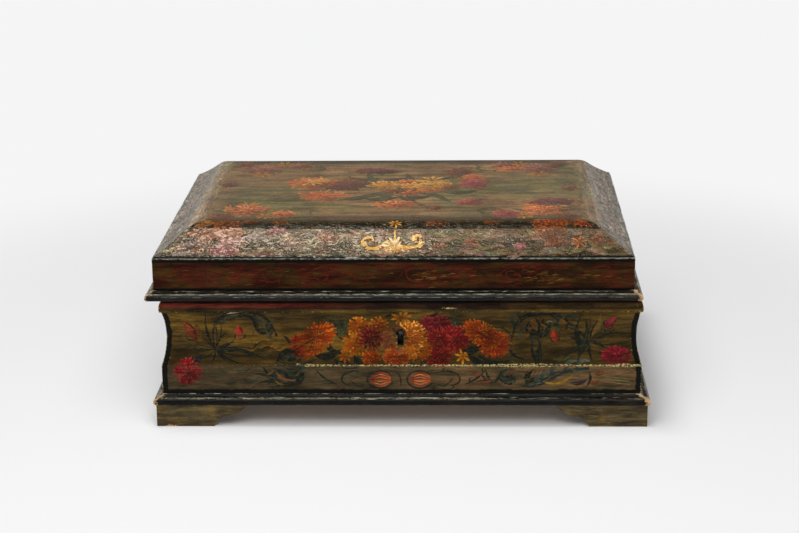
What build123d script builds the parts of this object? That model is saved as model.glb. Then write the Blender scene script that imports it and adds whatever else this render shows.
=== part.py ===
from build123d import *
import os

# A lacquered wooden casket for papers and keepsakes: a hollow-sided pine box on bracket feet, with a
# hinged cushion-shaped lid, an iron box lock in the front board and two iron butt hinges.
# X runs along the front, Y from front to back and Z up. The origin is on the floor, under the middle
# of the whole width and depth.

# Driving sizes of the body, mm
body_width = 373.0
body_depth = 270.0
wall = 16.0
foot_height = 17.5
base_moulding_height = 8.0
base_moulding_reach = 7.0
base_moulding_tuck = 6.0
plinth_height = 23.0
cavetto_height = 43.5
cavetto_depth = 4.3
quirk = 1.4
rim_band_height = 9.7
rim_band_swell = 0.3
rim_band_taper = 2.2
cavetto_deepest_share = 0.48
rim_band_fullest_share = 0.4
bead_height_share = 0.68
bead_foot_share = 0.77
bead_shoulder_share = 0.72
bead_fillet_share = 0.57
scotia_reach_share = 0.22
scotia_rise_share = 0.08

# Driving sizes of the lid, mm
lid_inset = 1.5
lid_drift = 5.3
seam = 0.3
fascia_height = 33.0
fascia_thickness = 14.0
lid_moulding_height = 7.5
lid_moulding_reach = 6.4
lid_fillet_share = 0.42
lid_fillet_slope_shares = (0.9, 0.04)
lid_fillet_rise_share = 0.2
lid_groove_shares = (0.85, 0.72)
lid_bead_in_share = 0.56
lid_bead_foot_share = 0.72
lid_bead_fullest_share = 0.35
slope_run = 23.5
slope_rise = 16.5
slope_hollow = 1.0
shoulder_run = 13.5
shoulder_rise = 4.0
shoulder_round_shares = (0.45, 0.72)
panel_margin = 1.0
panel_thickness = 8.0
panel_ledge = 6.0
rail_lip = 4.0

# Driving sizes of the feet, mm
foot_reach = 5.0
foot_thickness = 12.0
foot_floor_length = 45.0
foot_top_length = 71.5
foot_spur = 8.0
foot_spur_rise = 8.0
spur_bulge_shares = (0.36, 0.58)
sweep_sag_shares = (0.65, 0.38)
glue_block = 15.0
glue_block_lift = 1.0
glue_block_chamfer = 6.0

# Driving sizes of the lock and its link plate, mm
lock_width = 62.0
lock_height = 44.0
lock_depth = 8.5
plate_gauge = 1.5
cap_gauge = 1.2
case_wall = 1.5
case_margin = 5.5
case_rise = 2.8
case_clearance = 0.3
selvedge_width = 10.5
keyhole_drop = 28.1
keyhole_head = 6.4
keyhole_height = 13.3
keyhole_neck = 4.3
keyhole_foot = 4.8
drill_pin_diameter = 3.2
drill_pin_setback = 1.5
bolt_gauge = 2.0
bolt_height = 11.0
bolt_drop = 9.7
bolt_tail = 22.5
bolt_throw = 6.0
nose_height = 5.0
nose_length = 6.0
talon_width = 5.0
talon_depth = 3.0
stud_diameter = 3.0
stud_shoulder = 6.0
stud_spacing = 12.5
stud_height_share = 0.4
stud_clearance = 0.15
running_clearance = 0.1
spring_gauge = 0.7
spring_width = 3.0
spring_foot = 5.0
spring_headroom = 1.0
spring_bow_lead = 10.0
spring_tip_rise = 3.0
link_gauge = 1.5
link_width = 9.0
lug_place = 11.5
lug_thickness = 3.0
lug_wall = 0.8
lug_clearance = 0.3
lug_toe = 2.5
lug_slot_clearance = 0.9

# Driving sizes of the hinges, mm
hinge_margin = 71.5
hinge_length = 34.0
leaf_width = 13.7
leaf_gauge = 1.2
knuckle_radius = 2.4
knuckle_gap = 0.2
knuckle_count = 5
hinge_pin_radius = 1.1
hinge_pin_clearance = 0.05
hinge_setback = 0.2
pocket_clearance = 0.25

# Driving sizes of the screws and nails, mm
screw_head = 4.2
screw_shank = 1.9
screw_length = 9.0
screw_tip = 2.0
screw_inset = 4.5
nail_head = 3.4
nail_head_rise = 0.7
nail_head_slope = 35.0
nail_shank = 1.5
nail_taper = 1.5
lock_nail_length = 9.0
lock_nail_inset = 2.8
lock_nail_drop = 8.0
lock_nail_lift = 4.5
bottom_nail_length = 18.0
bottom_nail_inset = 11.0
bottom_nail_spacing = 80.0

# Levels above the floor, each built on the one below
z_floor = foot_height + base_moulding_height
z_arris = z_floor + plinth_height
z_rim_low = z_arris + cavetto_height
z_rim = z_rim_low + rim_band_height
z_lid = z_rim + seam
z_slope = z_lid + fascia_height
z_crease = z_slope + slope_rise
z_top = z_crease + shoulder_rise

# Places seen from above, from the middle of the body
body_x = body_width / 2
body_y = body_depth / 2
lid_x = body_x - lid_inset
lid_y = body_y - lid_inset
inner_face = body_y - wall
bolt_plane = -(inner_face + (plate_gauge + lock_depth - cap_gauge) / 2)
sides = ("front", "right", "back", "left")
quarter_turn = 90

# A section is drawn with the way out from the middle of the box as its first axis and height as its
# second, as it stands across the front board.
across_front = Plane(origin=(0, 0, 0), x_dir=(0, -1, 0), z_dir=(-1, 0, 0))
mitre_in = 50.0
mitre_out = 20.0

pieces = {}


def spans(side, half_width, half_depth):
    """Half the run along a side, and the distance from the middle out to it."""
    if side in ("front", "back"):
        return half_width, half_depth
    return half_depth, half_width


def mitre_wedge(along, out):
    """The space that one side of a mitred frame may fill, for the front."""
    near = out - mitre_in
    far = out + mitre_out
    near_half = along - mitre_in
    far_half = along + mitre_out
    inner_edge = [(-near_half, -near), (near_half, -near)]
    outer_edge = [(far_half, -far), (-far_half, -far)]
    plan = Polyline(*inner_edge, *outer_edge, close=True)
    return extrude(make_face(plan), z_top)


def mitred_run(outline, along, out):
    """A section swept along the front and cut to a mitre at both ends."""
    section = across_front * (Pos(out, 0) * make_face(outline))
    run = extrude(section, along + mitre_out, both=True)
    return run & mitre_wedge(along, out)


def turned(solid, side):
    return Rot(0, 0, sides.index(side) * quarter_turn) * solid


def frame_of_four(name, outline, half_width, half_depth):
    for side in sides:
        along, out = spans(side, half_width, half_depth)
        pieces[f"{name}_{side}"] = turned(mitred_run(outline, along, out), side)


def upright_block(x_span, y_span, z_span):
    """A plain block between two values on each axis."""
    size = [high - low for low, high in (x_span, y_span, z_span)]
    middle = [(high + low) / 2 for low, high in (x_span, y_span, z_span)]
    return Pos(*middle) * Box(*size)


# The four hollow-sided boards of the body: plinth, arris, cavetto, quirk and swelling rim band
def wall_outline():
    deep = (-cavetto_depth, z_arris + cavetto_height * cavetto_deepest_share)
    shoulder = (-quirk, z_rim_low)
    swell = (rim_band_swell, z_rim_low + rim_band_height * rim_band_fullest_share)
    edge = (-rim_band_taper, z_rim)
    return [
        Line((-wall, z_rim), (-wall, z_floor)),
        Line((-wall, z_floor), (0, z_floor)),
        Line((0, z_floor), (0, z_arris)),
        ThreePointArc((0, z_arris), deep, shoulder),
        Line(shoulder, (0, z_rim_low)),
        ThreePointArc((0, z_rim_low), swell, edge),
        Line(edge, (-wall, z_rim)),
    ]


frame_of_four("body_board", wall_outline(), body_x, body_y)


# The bottom board, flush inside the base moulding
bottom_x = body_x - base_moulding_tuck
bottom_y = body_y - base_moulding_tuck
bottom_z = (foot_height, z_floor)
pieces["bottom_board"] = upright_block((-bottom_x, bottom_x), (-bottom_y, bottom_y), bottom_z)


# The base moulding: a small scotia above a bead, in four mitred strips round the bottom board
def base_moulding_outline():
    bead_height = base_moulding_height * bead_height_share
    bead_top = foot_height + bead_height
    bead_foot = (base_moulding_reach * bead_foot_share, foot_height)
    bead_middle = (base_moulding_reach, foot_height + bead_height / 2)
    bead_in = (base_moulding_reach * bead_shoulder_share, bead_top)
    fillet = (base_moulding_reach * bead_fillet_share, bead_top)
    hollow = (base_moulding_reach * scotia_reach_share, bead_top + base_moulding_height * scotia_rise_share)
    return [
        Line((-base_moulding_tuck, z_floor), (-base_moulding_tuck, foot_height)),
        Line((-base_moulding_tuck, foot_height), bead_foot),
        ThreePointArc(bead_foot, bead_middle, bead_in),
        Line(bead_in, fillet),
        ThreePointArc(fillet, hollow, (0, z_floor)),
        Line((0, z_floor), (-base_moulding_tuck, z_floor)),
    ]


frame_of_four("base_moulding", base_moulding_outline(), body_x, body_y)


# The bracket feet: two mitred brackets at each corner with an ogee inner end, and a glue block behind
def foot_outline():
    spur = (foot_floor_length + foot_spur, foot_spur_rise)
    spur_middle = (
        foot_floor_length + foot_spur * spur_bulge_shares[0],
        foot_spur_rise * spur_bulge_shares[1],
    )
    sweep_middle = (
        spur[0] + (foot_top_length - spur[0]) * sweep_sag_shares[0],
        spur[1] + (foot_height - spur[1]) * sweep_sag_shares[1],
    )
    return [
        Line((0, foot_height), (0, 0)),
        Line((0, 0), (foot_floor_length, 0)),
        ThreePointArc((foot_floor_length, 0), spur_middle, spur),
        ThreePointArc(spur, sweep_middle, (foot_top_length, foot_height)),
        Line((foot_top_length, foot_height), (0, foot_height)),
    ]


def bracket(side, end):
    """One bracket of a foot. end is 1 for the corner that comes first anticlockwise, else -1."""
    along, out = spans(side, body_x, body_y)
    face = Plane(origin=(along + foot_reach, -(out + foot_reach), 0), x_dir=(-1, 0, 0), z_dir=(0, 1, 0))
    blank = extrude(face * make_face(foot_outline()), foot_thickness)
    cut = blank & mitre_wedge(along, out)
    if end < 0:
        cut = mirror(cut, about=Plane.YZ)
    return turned(cut, side)


foot_corners = {
    "front_right": (("front", 1), ("right", -1)),
    "back_right": (("right", 1), ("back", -1)),
    "back_left": (("back", 1), ("left", -1)),
    "front_left": (("left", 1), ("front", -1)),
}
block_x = body_x + foot_reach - foot_thickness - glue_block / 2
block_y = body_y + foot_reach - foot_thickness - glue_block / 2
for corner, brackets in foot_corners.items():
    for side, end in brackets:
        pieces[f"foot_{corner}_{side}_bracket"] = bracket(side, end)
    block_height = foot_height - glue_block_lift
    block = Box(glue_block, glue_block, block_height)
    way_x = 1 if "right" in corner else -1
    way_y = 1 if "back" in corner else -1
    outwards = Axis((0, 0, 0), (way_x, way_y, 0))
    inner_edge = block.edges().filter_by(Axis.Z).sort_by(outwards)[0]
    block = chamfer(inner_edge, glue_block_chamfer)
    pieces[f"foot_{corner}_glue_block"] = (
        Pos(way_x * block_x, way_y * block_y, glue_block_lift + block_height / 2) * block
    )


# The lid frame: four upright fascia boards with a planted moulding round their foot
def fascia_outline():
    return [
        Line((0, z_lid), (0, z_slope)),
        Line((0, z_slope), (-fascia_thickness, z_slope)),
        Line((-fascia_thickness, z_slope), (-fascia_thickness, z_lid)),
        Line((-fascia_thickness, z_lid), (0, z_lid)),
    ]


def lid_moulding_outline():
    top = z_lid + lid_moulding_height
    reach = lid_moulding_reach * lid_fillet_share
    fillet_slope = (
        reach * lid_fillet_slope_shares[0],
        top - lid_moulding_height * lid_fillet_slope_shares[1],
    )
    fillet = (reach, top - lid_moulding_height * lid_fillet_rise_share)
    groove = z_lid + lid_moulding_height * lid_groove_shares[1]
    groove_in = (reach * lid_groove_shares[0], groove)
    bead_in = (lid_moulding_reach * lid_bead_in_share, groove)
    bead_foot = (lid_moulding_reach * lid_bead_foot_share, z_lid)
    bead_middle = (lid_moulding_reach, z_lid + lid_moulding_height * lid_bead_fullest_share)
    return [
        Line((0, z_lid), (0, top)),
        Line((0, top), fillet_slope),
        Line(fillet_slope, fillet),
        Line(fillet, groove_in),
        Line(groove_in, bead_in),
        ThreePointArc(bead_in, bead_middle, bead_foot),
        Line(bead_foot, (0, z_lid)),
    ]


# The cushion rails: a slope with a slight hollow, a crease and a rounded shoulder, rebated for the panel
def cushion_outline():
    slope_middle = (-slope_run / 2, z_slope + slope_rise / 2 - slope_hollow)
    crease = (-slope_run, z_crease)
    shoulder = (-slope_run - shoulder_run, z_top)
    shoulder_middle = (
        -slope_run - shoulder_run * shoulder_round_shares[0],
        z_crease + shoulder_rise * shoulder_round_shares[1],
    )
    joint = shoulder[0] - panel_margin
    ledge = joint - panel_ledge
    ledge_top = z_top - panel_thickness
    return [
        ThreePointArc((0, z_slope), slope_middle, crease),
        ThreePointArc(crease, shoulder_middle, shoulder),
        Line(shoulder, (joint, z_top)),
        Line((joint, z_top), (joint, ledge_top)),
        Line((joint, ledge_top), (ledge, ledge_top)),
        Line((ledge, ledge_top), (ledge, ledge_top - rail_lip)),
        Line((ledge, ledge_top - rail_lip), (-fascia_thickness, z_slope)),
        Line((-fascia_thickness, z_slope), (0, z_slope)),
    ]


frame_of_four("lid_fascia", fascia_outline(), lid_x, lid_y)
frame_of_four("lid_moulding", lid_moulding_outline(), lid_x, lid_y)
frame_of_four("cushion_rail", cushion_outline(), lid_x, lid_y)

# The flat panel that closes the top of the lid
panel_inset = slope_run + shoulder_run + panel_margin
panel_x = lid_x - panel_inset
panel_y = lid_y - panel_inset
panel_z = (z_top - panel_thickness, z_top)
pieces["top_panel"] = upright_block((-panel_x, panel_x), (-panel_y, panel_y), panel_z)

# The old lid sits a little to the left of the body
lid_wood = [name for name in pieces if name.startswith(("lid_", "cushion_", "top_"))]
for name in lid_wood:
    pieces[name] = Pos(-lid_drift, 0, 0) * pieces[name]


# A countersunk screw that points down from its head's top face
def screw():
    head_height = (screw_head - screw_shank) / 2
    head = Pos(0, 0, -head_height / 2) * Cone(screw_shank / 2, screw_head / 2, head_height)
    plain = screw_length - screw_tip - head_height
    shank = Pos(0, 0, -head_height - plain / 2) * Cylinder(screw_shank / 2, plain)
    tip = Pos(0, 0, -head_height - plain - screw_tip / 2) * Cone(0, screw_shank / 2, screw_tip)
    return head + shank + tip


# A wrought nail with a faceted head, that points down from the face it is driven through
def nail(length):
    head = extrude(Rectangle(nail_head, nail_head), nail_head_rise, taper=nail_head_slope)
    shank = extrude(Rectangle(nail_shank, nail_shank), -length, taper=nail_taper)
    return head + shank


# The iron butt hinges, let in under the lid and into the back board's top edge
hinge_y = body_y + hinge_setback
hinge_z = z_rim + seam / 2
hinge_x = body_x - hinge_margin
hinge_xs = {"left": -hinge_x, "right": hinge_x}
knuckle_pitch = hinge_length / knuckle_count


def along_hinge(x, y, z, radius, length):
    return Pos(x, y, z) * Rot(0, 90, 0) * Cylinder(radius, length)


def hinge_leaf(x, z_span, first_knuckle):
    """A leaf with every second knuckle, bored for the pin."""
    half = hinge_length / 2
    leaf = upright_block((x - half, x + half), (hinge_y - leaf_width, hinge_y), z_span)
    for index in range(knuckle_count):
        middle = x + (index - (knuckle_count - 1) / 2) * knuckle_pitch
        if index % 2 == first_knuckle:
            leaf += along_hinge(middle, hinge_y, hinge_z, knuckle_radius, knuckle_pitch - knuckle_gap)
        else:
            leaf -= along_hinge(middle, hinge_y, hinge_z, knuckle_radius + pocket_clearance, knuckle_pitch)
    bore = along_hinge(x, hinge_y, hinge_z, hinge_pin_radius + hinge_pin_clearance, hinge_length)
    return leaf - bore


base_screws = []
lid_screws = []
screw_y = hinge_y - leaf_width + screw_inset
for side, x in hinge_xs.items():
    pieces[f"{side}_hinge_body_leaf"] = hinge_leaf(x, (z_rim - leaf_gauge, z_rim), 0)
    pieces[f"{side}_hinge_lid_leaf"] = hinge_leaf(x, (z_lid, z_lid + leaf_gauge), 1)
    pieces[f"{side}_hinge_pin"] = along_hinge(x, hinge_y, hinge_z, hinge_pin_radius, hinge_length)
    mortise_x = (x - hinge_length / 2, x + hinge_length / 2)
    mortise_y = (hinge_y - leaf_width, hinge_y)
    pocket = along_hinge(x, hinge_y, hinge_z, knuckle_radius + pocket_clearance, hinge_length)
    pieces["body_board_back"] -= upright_block(mortise_x, mortise_y, (z_rim - leaf_gauge, z_rim)) + pocket
    notch = upright_block(
        mortise_x, (hinge_y, lid_y + mitre_out), (z_lid, hinge_z + knuckle_radius + pocket_clearance)
    )
    for name in ("lid_fascia_back", "lid_moulding_back"):
        pieces[name] -= upright_block(mortise_x, mortise_y, (z_lid, z_lid + leaf_gauge)) + pocket + notch
    for offset in (-hinge_length / 3, 0, hinge_length / 3):
        base_screws.append(Pos(x + offset, screw_y, z_rim) * screw())
        lid_screws.append(Pos(x + offset, screw_y, z_lid) * Rot(180, 0, 0) * screw())


# The lock: a flat iron case let into the front board, with its selvedge flush in the top edge
inner_y = -inner_face
plate_y = (inner_y - plate_gauge, inner_y)
cap_y = (inner_y - lock_depth, inner_y - lock_depth + cap_gauge)
case_y = (cap_y[1], plate_y[0])
plate_z = (z_rim - lock_height, z_rim)
case_z = (plate_z[0] + case_rise, z_rim - plate_gauge)
lock_x = (-lock_width / 2, lock_width / 2)
case_x = (lock_x[0] + case_margin, lock_x[1] - case_margin)
selvedge_y = (inner_y - selvedge_width, inner_y)
keyhole_z = z_rim - keyhole_drop
nose_top = z_rim - bolt_drop
eye_z = (nose_top - nose_height - lug_clearance, nose_top + lug_clearance)
lug_half = bolt_gauge / 2 + lug_clearance + lug_wall


def keyhole_cutter(y_span):
    """A round head over a slightly flared slot, cut from front to back."""
    front = Plane(origin=(0, y_span[0], 0), x_dir=(1, 0, 0), z_dir=(0, -1, 0))
    foot = keyhole_z + keyhole_head / 2 - keyhole_height
    slot = Polyline(
        (-keyhole_foot / 2, foot),
        (keyhole_foot / 2, foot),
        (keyhole_neck / 2, keyhole_z),
        (-keyhole_neck / 2, keyhole_z),
        close=True,
    )
    shape = make_face(slot) + Pos(0, keyhole_z) * Circle(keyhole_head / 2)
    return extrude(front * shape, -(y_span[1] - y_span[0]))


def across_lock(x, z, diameter, y_span):
    """A round bar from front to back."""
    middle = (y_span[0] + y_span[1]) / 2
    return Pos(x, middle, z) * Rot(90, 0, 0) * Cylinder(diameter / 2, y_span[1] - y_span[0])


lug_slot_x = lug_thickness / 2 + lug_slot_clearance
lug_slot_y = lug_half + lug_slot_clearance
plate = upright_block(lock_x, plate_y, plate_z)
plate += upright_block(lock_x, selvedge_y, (z_rim - plate_gauge, z_rim))
plate -= upright_block(
    (lug_place - lug_slot_x, lug_place + lug_slot_x),
    (bolt_plane - lug_slot_y, bolt_plane + lug_slot_y),
    (z_rim - 2 * plate_gauge, z_rim + plate_gauge),
)

case_rim = upright_block(case_x, case_y, case_z)
case_rim -= upright_block(
    (case_x[0] + case_wall, case_x[1] - case_wall), case_y, (case_z[0] + case_wall, case_z[1])
)

cap = upright_block(case_x, cap_y, case_z) - keyhole_cutter(cap_y)

waist_y = -(body_y - cavetto_depth)
drill_pin = across_lock(0, keyhole_z, drill_pin_diameter, (waist_y + drill_pin_setback, plate_y[0]))

# The bolt slides on two shouldered studs. Its tail is slotted for them, the key turns in the talon
# below, and the nose runs through the eye of the link plate's lug.
bolt_y = (bolt_plane - bolt_gauge / 2, bolt_plane + bolt_gauge / 2)
nose_tip = lug_place - lug_thickness / 2 - lug_slot_clearance / 2
body_end = nose_tip - nose_length
stud_z = nose_top - bolt_height * stud_height_share
stud_xs = (body_end - stud_spacing - stud_diameter, body_end - stud_diameter)
bolt = upright_block((-bolt_tail, body_end), bolt_y, (nose_top - bolt_height, nose_top))
bolt += upright_block((body_end, nose_tip), bolt_y, (nose_top - nose_height, nose_top))
bolt -= upright_block(
    (-bolt_throw / 2 - talon_width / 2, -bolt_throw / 2 + talon_width / 2),
    bolt_y,
    (nose_top - bolt_height, nose_top - bolt_height + talon_depth),
)
studs = []
for stud_x in stud_xs:
    slot_radius = stud_diameter / 2 + stud_clearance
    slot_x = (stud_x - bolt_throw, stud_x)
    bolt -= upright_block(slot_x, bolt_y, (stud_z - slot_radius, stud_z + slot_radius))
    for slot_end in slot_x:
        bolt -= across_lock(slot_end, stud_z, 2 * slot_radius, bolt_y)
    stud = across_lock(stud_x, stud_z, stud_diameter, (case_y[0], plate_y[0]))
    stud += across_lock(stud_x, stud_z, stud_shoulder, (bolt_y[1] + running_clearance, plate_y[0]))
    studs.append(stud)

# A bowed leaf spring, footed on the case's left end, presses on the bolt's top edge
spring_x = case_x[0] + case_wall
spring_top = case_z[1] - spring_headroom
bow_low = nose_top + stud_clearance
bow_points = [
    (spring_x + spring_gauge, spring_top - spring_headroom),
    (body_end - spring_bow_lead, bow_low),
    (body_end, bow_low + spring_tip_rise),
]
upper_points = [(x, z + spring_gauge) for x, z in bow_points]
spring_plane = Plane(origin=(0, bolt_plane + spring_width / 2, 0), x_dir=(1, 0, 0), z_dir=(0, -1, 0))
bow = make_face(
    [
        ThreePointArc(*bow_points),
        Line(bow_points[2], upper_points[2]),
        ThreePointArc(*upper_points[::-1]),
        Line(upper_points[0], bow_points[0]),
    ]
)
spring = extrude(spring_plane * bow, spring_width)
spring += upright_block(
    (spring_x, spring_x + spring_gauge),
    (bolt_plane - spring_width / 2, bolt_plane + spring_width / 2),
    (spring_top - spring_foot, spring_top),
)

lock_nails = []
for way in (-1, 1):
    nail_x = way * (lock_width / 2 - lock_nail_inset)
    for nail_z in (z_rim - lock_nail_drop, plate_z[0] + lock_nail_lift):
        lock_nails.append(Pos(nail_x, inner_y, nail_z) * Rot(-90, 0, 0) * nail(lock_nail_length))

recess = upright_block(lock_x, plate_y, plate_z)
recess += upright_block(lock_x, selvedge_y, (z_rim - plate_gauge, z_rim))
recess += upright_block(
    (case_x[0] - case_clearance, case_x[1] + case_clearance),
    (cap_y[0], plate_y[0]),
    (case_z[0] - case_clearance, case_z[1]),
)
pieces["body_board_front"] -= recess
pieces["body_board_front"] -= keyhole_cutter((-body_y, cap_y[0]))
for driven in lock_nails:
    plate -= driven
    pieces["body_board_front"] -= driven

pieces["lock_plate"] = plate
pieces["lock_case_rim"] = case_rim
pieces["lock_cap"] = cap
pieces["lock_drill_pin"] = drill_pin
pieces["lock_bolt"] = bolt
pieces["lock_studs"] = Compound(studs)
pieces["lock_spring"] = spring
pieces["lock_nails"] = Compound(lock_nails)

# The link plate under the lid's front, with the lug that drops into the lock
link_inner = fascia_thickness - lid_y
link_y = (link_inner - link_width, link_inner)
link = upright_block(lock_x, link_y, (z_lid, z_lid + link_gauge))
link += upright_block(
    (lug_place - lug_thickness / 2, lug_place + lug_thickness / 2),
    (bolt_plane - lug_half, bolt_plane + lug_half),
    (eye_z[0] - lug_toe, z_lid),
)
eye_half = bolt_gauge / 2 + lug_clearance
eye_x = (lug_place - lug_thickness, lug_place + lug_thickness)
link -= upright_block(eye_x, (bolt_plane - eye_half, bolt_plane + eye_half), eye_z)
pieces["lid_fascia_front"] -= upright_block(lock_x, link_y, (z_lid, z_lid + link_gauge))
link_screws = []
for way in (-1, 1):
    place = Pos(way * (lock_width / 2 - screw_inset), (link_y[0] + link_y[1]) / 2, z_lid)
    link_screws.append(place * Rot(180, 0, 0) * screw())
for driven in link_screws:
    link -= driven
    pieces["lid_fascia_front"] -= driven
pieces["link_plate"] = link
pieces["link_plate_screws"] = Compound(link_screws)

# Hinge screws, three to a leaf
for driven in base_screws:
    pieces["body_board_back"] -= driven
for driven in lid_screws:
    pieces["lid_fascia_back"] -= driven
for index, side in enumerate(hinge_xs):
    for driven in base_screws[3 * index : 3 * index + 3]:
        pieces[f"{side}_hinge_body_leaf"] -= driven
    for driven in lid_screws[3 * index : 3 * index + 3]:
        pieces[f"{side}_hinge_lid_leaf"] -= driven
pieces["hinge_screws_body"] = Compound(base_screws)
pieces["hinge_screws_lid"] = Compound(lid_screws)

# Wrought nails hold the bottom board up to the walls
bottom_nails = []
for way in (-1, 1):
    for step in (-1.5, -0.5, 0.5, 1.5):
        bottom_nails.append((step * bottom_nail_spacing, way * (body_y - bottom_nail_inset)))
    for step in (-0.5, 0.5):
        bottom_nails.append((way * (body_x - bottom_nail_inset), step * bottom_nail_spacing))
downwards = Rot(180, 0, 0)
bottom_nails = [Pos(x, y, foot_height) * downwards * nail(bottom_nail_length) for x, y in bottom_nails]
for driven in bottom_nails:
    pieces["bottom_board"] -= driven
    for side in sides:
        pieces[f"body_board_{side}"] -= driven
pieces["bottom_nails"] = Compound(bottom_nails)

# Shift the whole so that the origin is under the middle of the overall width
left_reach = lid_x + lid_moulding_reach + lid_drift
right_reach = body_x + base_moulding_reach
centring = Pos((left_reach - right_reach) / 2, 0, 0)

os.makedirs("parts", exist_ok=True)
for name, solid in pieces.items():
    export_step(centring * solid, f"parts/{name}.step")
print(len(pieces), "nodes, overall height", z_top, "shift", (left_reach - right_reach) / 2)
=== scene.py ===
import math
from types import SimpleNamespace

import bpy
import numpy as np
from mathutils import Matrix, Vector


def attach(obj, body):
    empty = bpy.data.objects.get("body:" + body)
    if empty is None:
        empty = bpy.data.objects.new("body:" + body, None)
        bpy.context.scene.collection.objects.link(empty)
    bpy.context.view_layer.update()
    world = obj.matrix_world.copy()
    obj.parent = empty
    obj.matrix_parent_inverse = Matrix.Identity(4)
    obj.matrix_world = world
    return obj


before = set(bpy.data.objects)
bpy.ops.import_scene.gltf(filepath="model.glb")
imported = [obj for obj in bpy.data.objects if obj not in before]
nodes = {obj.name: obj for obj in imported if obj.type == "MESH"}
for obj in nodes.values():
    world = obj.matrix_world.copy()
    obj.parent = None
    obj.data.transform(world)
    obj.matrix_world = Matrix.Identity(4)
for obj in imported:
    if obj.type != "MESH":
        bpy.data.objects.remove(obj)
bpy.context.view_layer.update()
MM = 0.001


# The photographer's place: an 85 mm lens on a full-frame camera, held about 1.5 m in front of the
# casket, a little right of its middle and half a metre up, looking down at the lock.
def aim_camera(place, down, left, tilt, lens):
    view = bpy.data.cameras.new("camera")
    view.lens = lens
    view.sensor_width = 36.0
    forward = Vector(
        (-math.sin(left) * math.cos(down), math.cos(left) * math.cos(down), -math.sin(down))
    )
    right = Vector((math.cos(left), math.sin(left), 0))
    up = right.cross(forward)
    across = math.cos(tilt) * right + math.sin(tilt) * up
    upright = -math.sin(tilt) * right + math.cos(tilt) * up
    turn = Matrix((across, upright, -forward)).transposed().to_4x4()
    camera = bpy.data.objects.new("camera", view)
    camera.matrix_world = Matrix.Translation(place) @ turn
    bpy.context.scene.collection.objects.link(camera)
    bpy.context.scene.camera = camera


aim_camera(
    place=Vector((54.0, -1513.8, 545.3)) * MM,
    down=math.radians(16.794),
    left=math.radians(2.171),
    tilt=math.radians(-0.739),
    lens=84.98,
)


# The studio: a seamless pale sweep on the floor, two broad softboxes overhead and towards the front,
# and a narrow one that shows as the pale streak along the front slope of the lid.
def put(tree, kind, inputs=None, **settings):
    """One node. A value sets its socket, and a socket is linked to it."""
    made = tree.nodes.new(kind)
    for name, value in settings.items():
        setattr(made, name, value)
    for name, value in (inputs or {}).items():
        if isinstance(value, bpy.types.NodeSocket):
            tree.links.new(value, made.inputs[name])
        else:
            made.inputs[name].default_value = value
    return made


def calc(tree, operation, *values):
    made = put(tree, "ShaderNodeMath", dict(enumerate(values)), operation=operation)
    return made.outputs[0]


def times(tree, *values):
    return calc(tree, "MULTIPLY", *values)


def mixed(tree, share, under, over):
    """Two colours, or sockets of them, one laid over the other by a share."""
    inputs = {0: share, 6: under, 7: over}
    return put(tree, "ShaderNodeMix", inputs, data_type="RGBA").outputs[2]


def step(tree, value, low, high, first=0.0, last=1.0):
    """The first value below low, the last above high, eased between them."""
    inputs = {"Value": value, "From Min": low, "From Max": high, "To Min": first, "To Max": last}
    made = put(tree, "ShaderNodeMapRange", inputs, interpolation_type="SMOOTHSTEP")
    return made.outputs[0]


def rgb(*levels):
    """A colour as a paint chart gives it, 0 to 255, made linear for the shader."""
    return (*[max(level / 3295, ((level / 255 + 0.055) / 1.055) ** 2.4) for level in levels], 1.0)


def soft_box(name, place, width, depth, glow, aim):
    """glow is the brightness of its cloth, where 1 is a white page in plain light."""
    light = bpy.data.lights.new(name, "AREA")
    light.shape = "RECTANGLE"
    light.size = width
    light.size_y = depth
    light.energy = math.pi * width * depth * glow
    lamp = bpy.data.objects.new(name, light)
    lamp.location = place
    lamp.rotation_euler = (Vector(aim) - Vector(place)).to_track_quat("-Z", "Y").to_euler()
    bpy.context.scene.collection.objects.link(lamp)


soft_box("overhead_softbox", (0.0, -1.15, 2.3), width=2.8, depth=2.1, glow=2.1, aim=(0, 0, 0))
soft_box("key_softbox", (-0.15, -2.3, 2.0), width=2.4, depth=1.2, glow=1.9, aim=(0, 0, 0.1))
soft_box("slope_softbox", (-0.3, -0.09, 2.0), width=0.76, depth=0.4, glow=13.0, aim=(-0.1, 0, 0.1))

# The room as the varnish mirrors it: warm cards stand low to the left and right, and the walls grow
# dimmer above them. The camera itself sees a plain page.
page_white = rgb(245, 245, 246)
world = bpy.data.worlds.new("studio")
bpy.context.scene.world = world
world.use_nodes = True
air = world.node_tree
air.nodes.clear()
rays = put(air, "ShaderNodeLightPath").outputs
way = put(air, "ShaderNodeTexCoord").outputs["Generated"]
across, _, height = put(air, "ShaderNodeSeparateXYZ", {0: way}).outputs
cards = step(air, calc(air, "ABSOLUTE", across), 0.13, 0.3, 0.0, 1.5)
cards = times(air, cards, step(air, height, 0.06, 0.26, 1.0, 0.0))
low = calc(air, "MAXIMUM", cards, step(air, height, 0.02, 0.18, 0.35, 0.17))
walls = times(air, low, step(air, height, 0.28, 0.5, 1.0, 0.25))
warm = mixed(air, cards, (1.0, 1.0, 1.0, 1.0), (1.0, 0.93, 0.82, 1.0))
room = put(air, "ShaderNodeBackground", {"Color": warm, "Strength": walls})
page = put(air, "ShaderNodeBackground", {"Color": page_white, "Strength": 1.0})
seen = calc(air, "MAXIMUM", rays["Is Camera Ray"], rays["Is Transmission Ray"])
both = put(air, "ShaderNodeMixShader", {0: seen, 1: room.outputs[0], 2: page.outputs[0]})
put(air, "ShaderNodeOutputWorld", {"Surface": both.outputs[0]})

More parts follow.
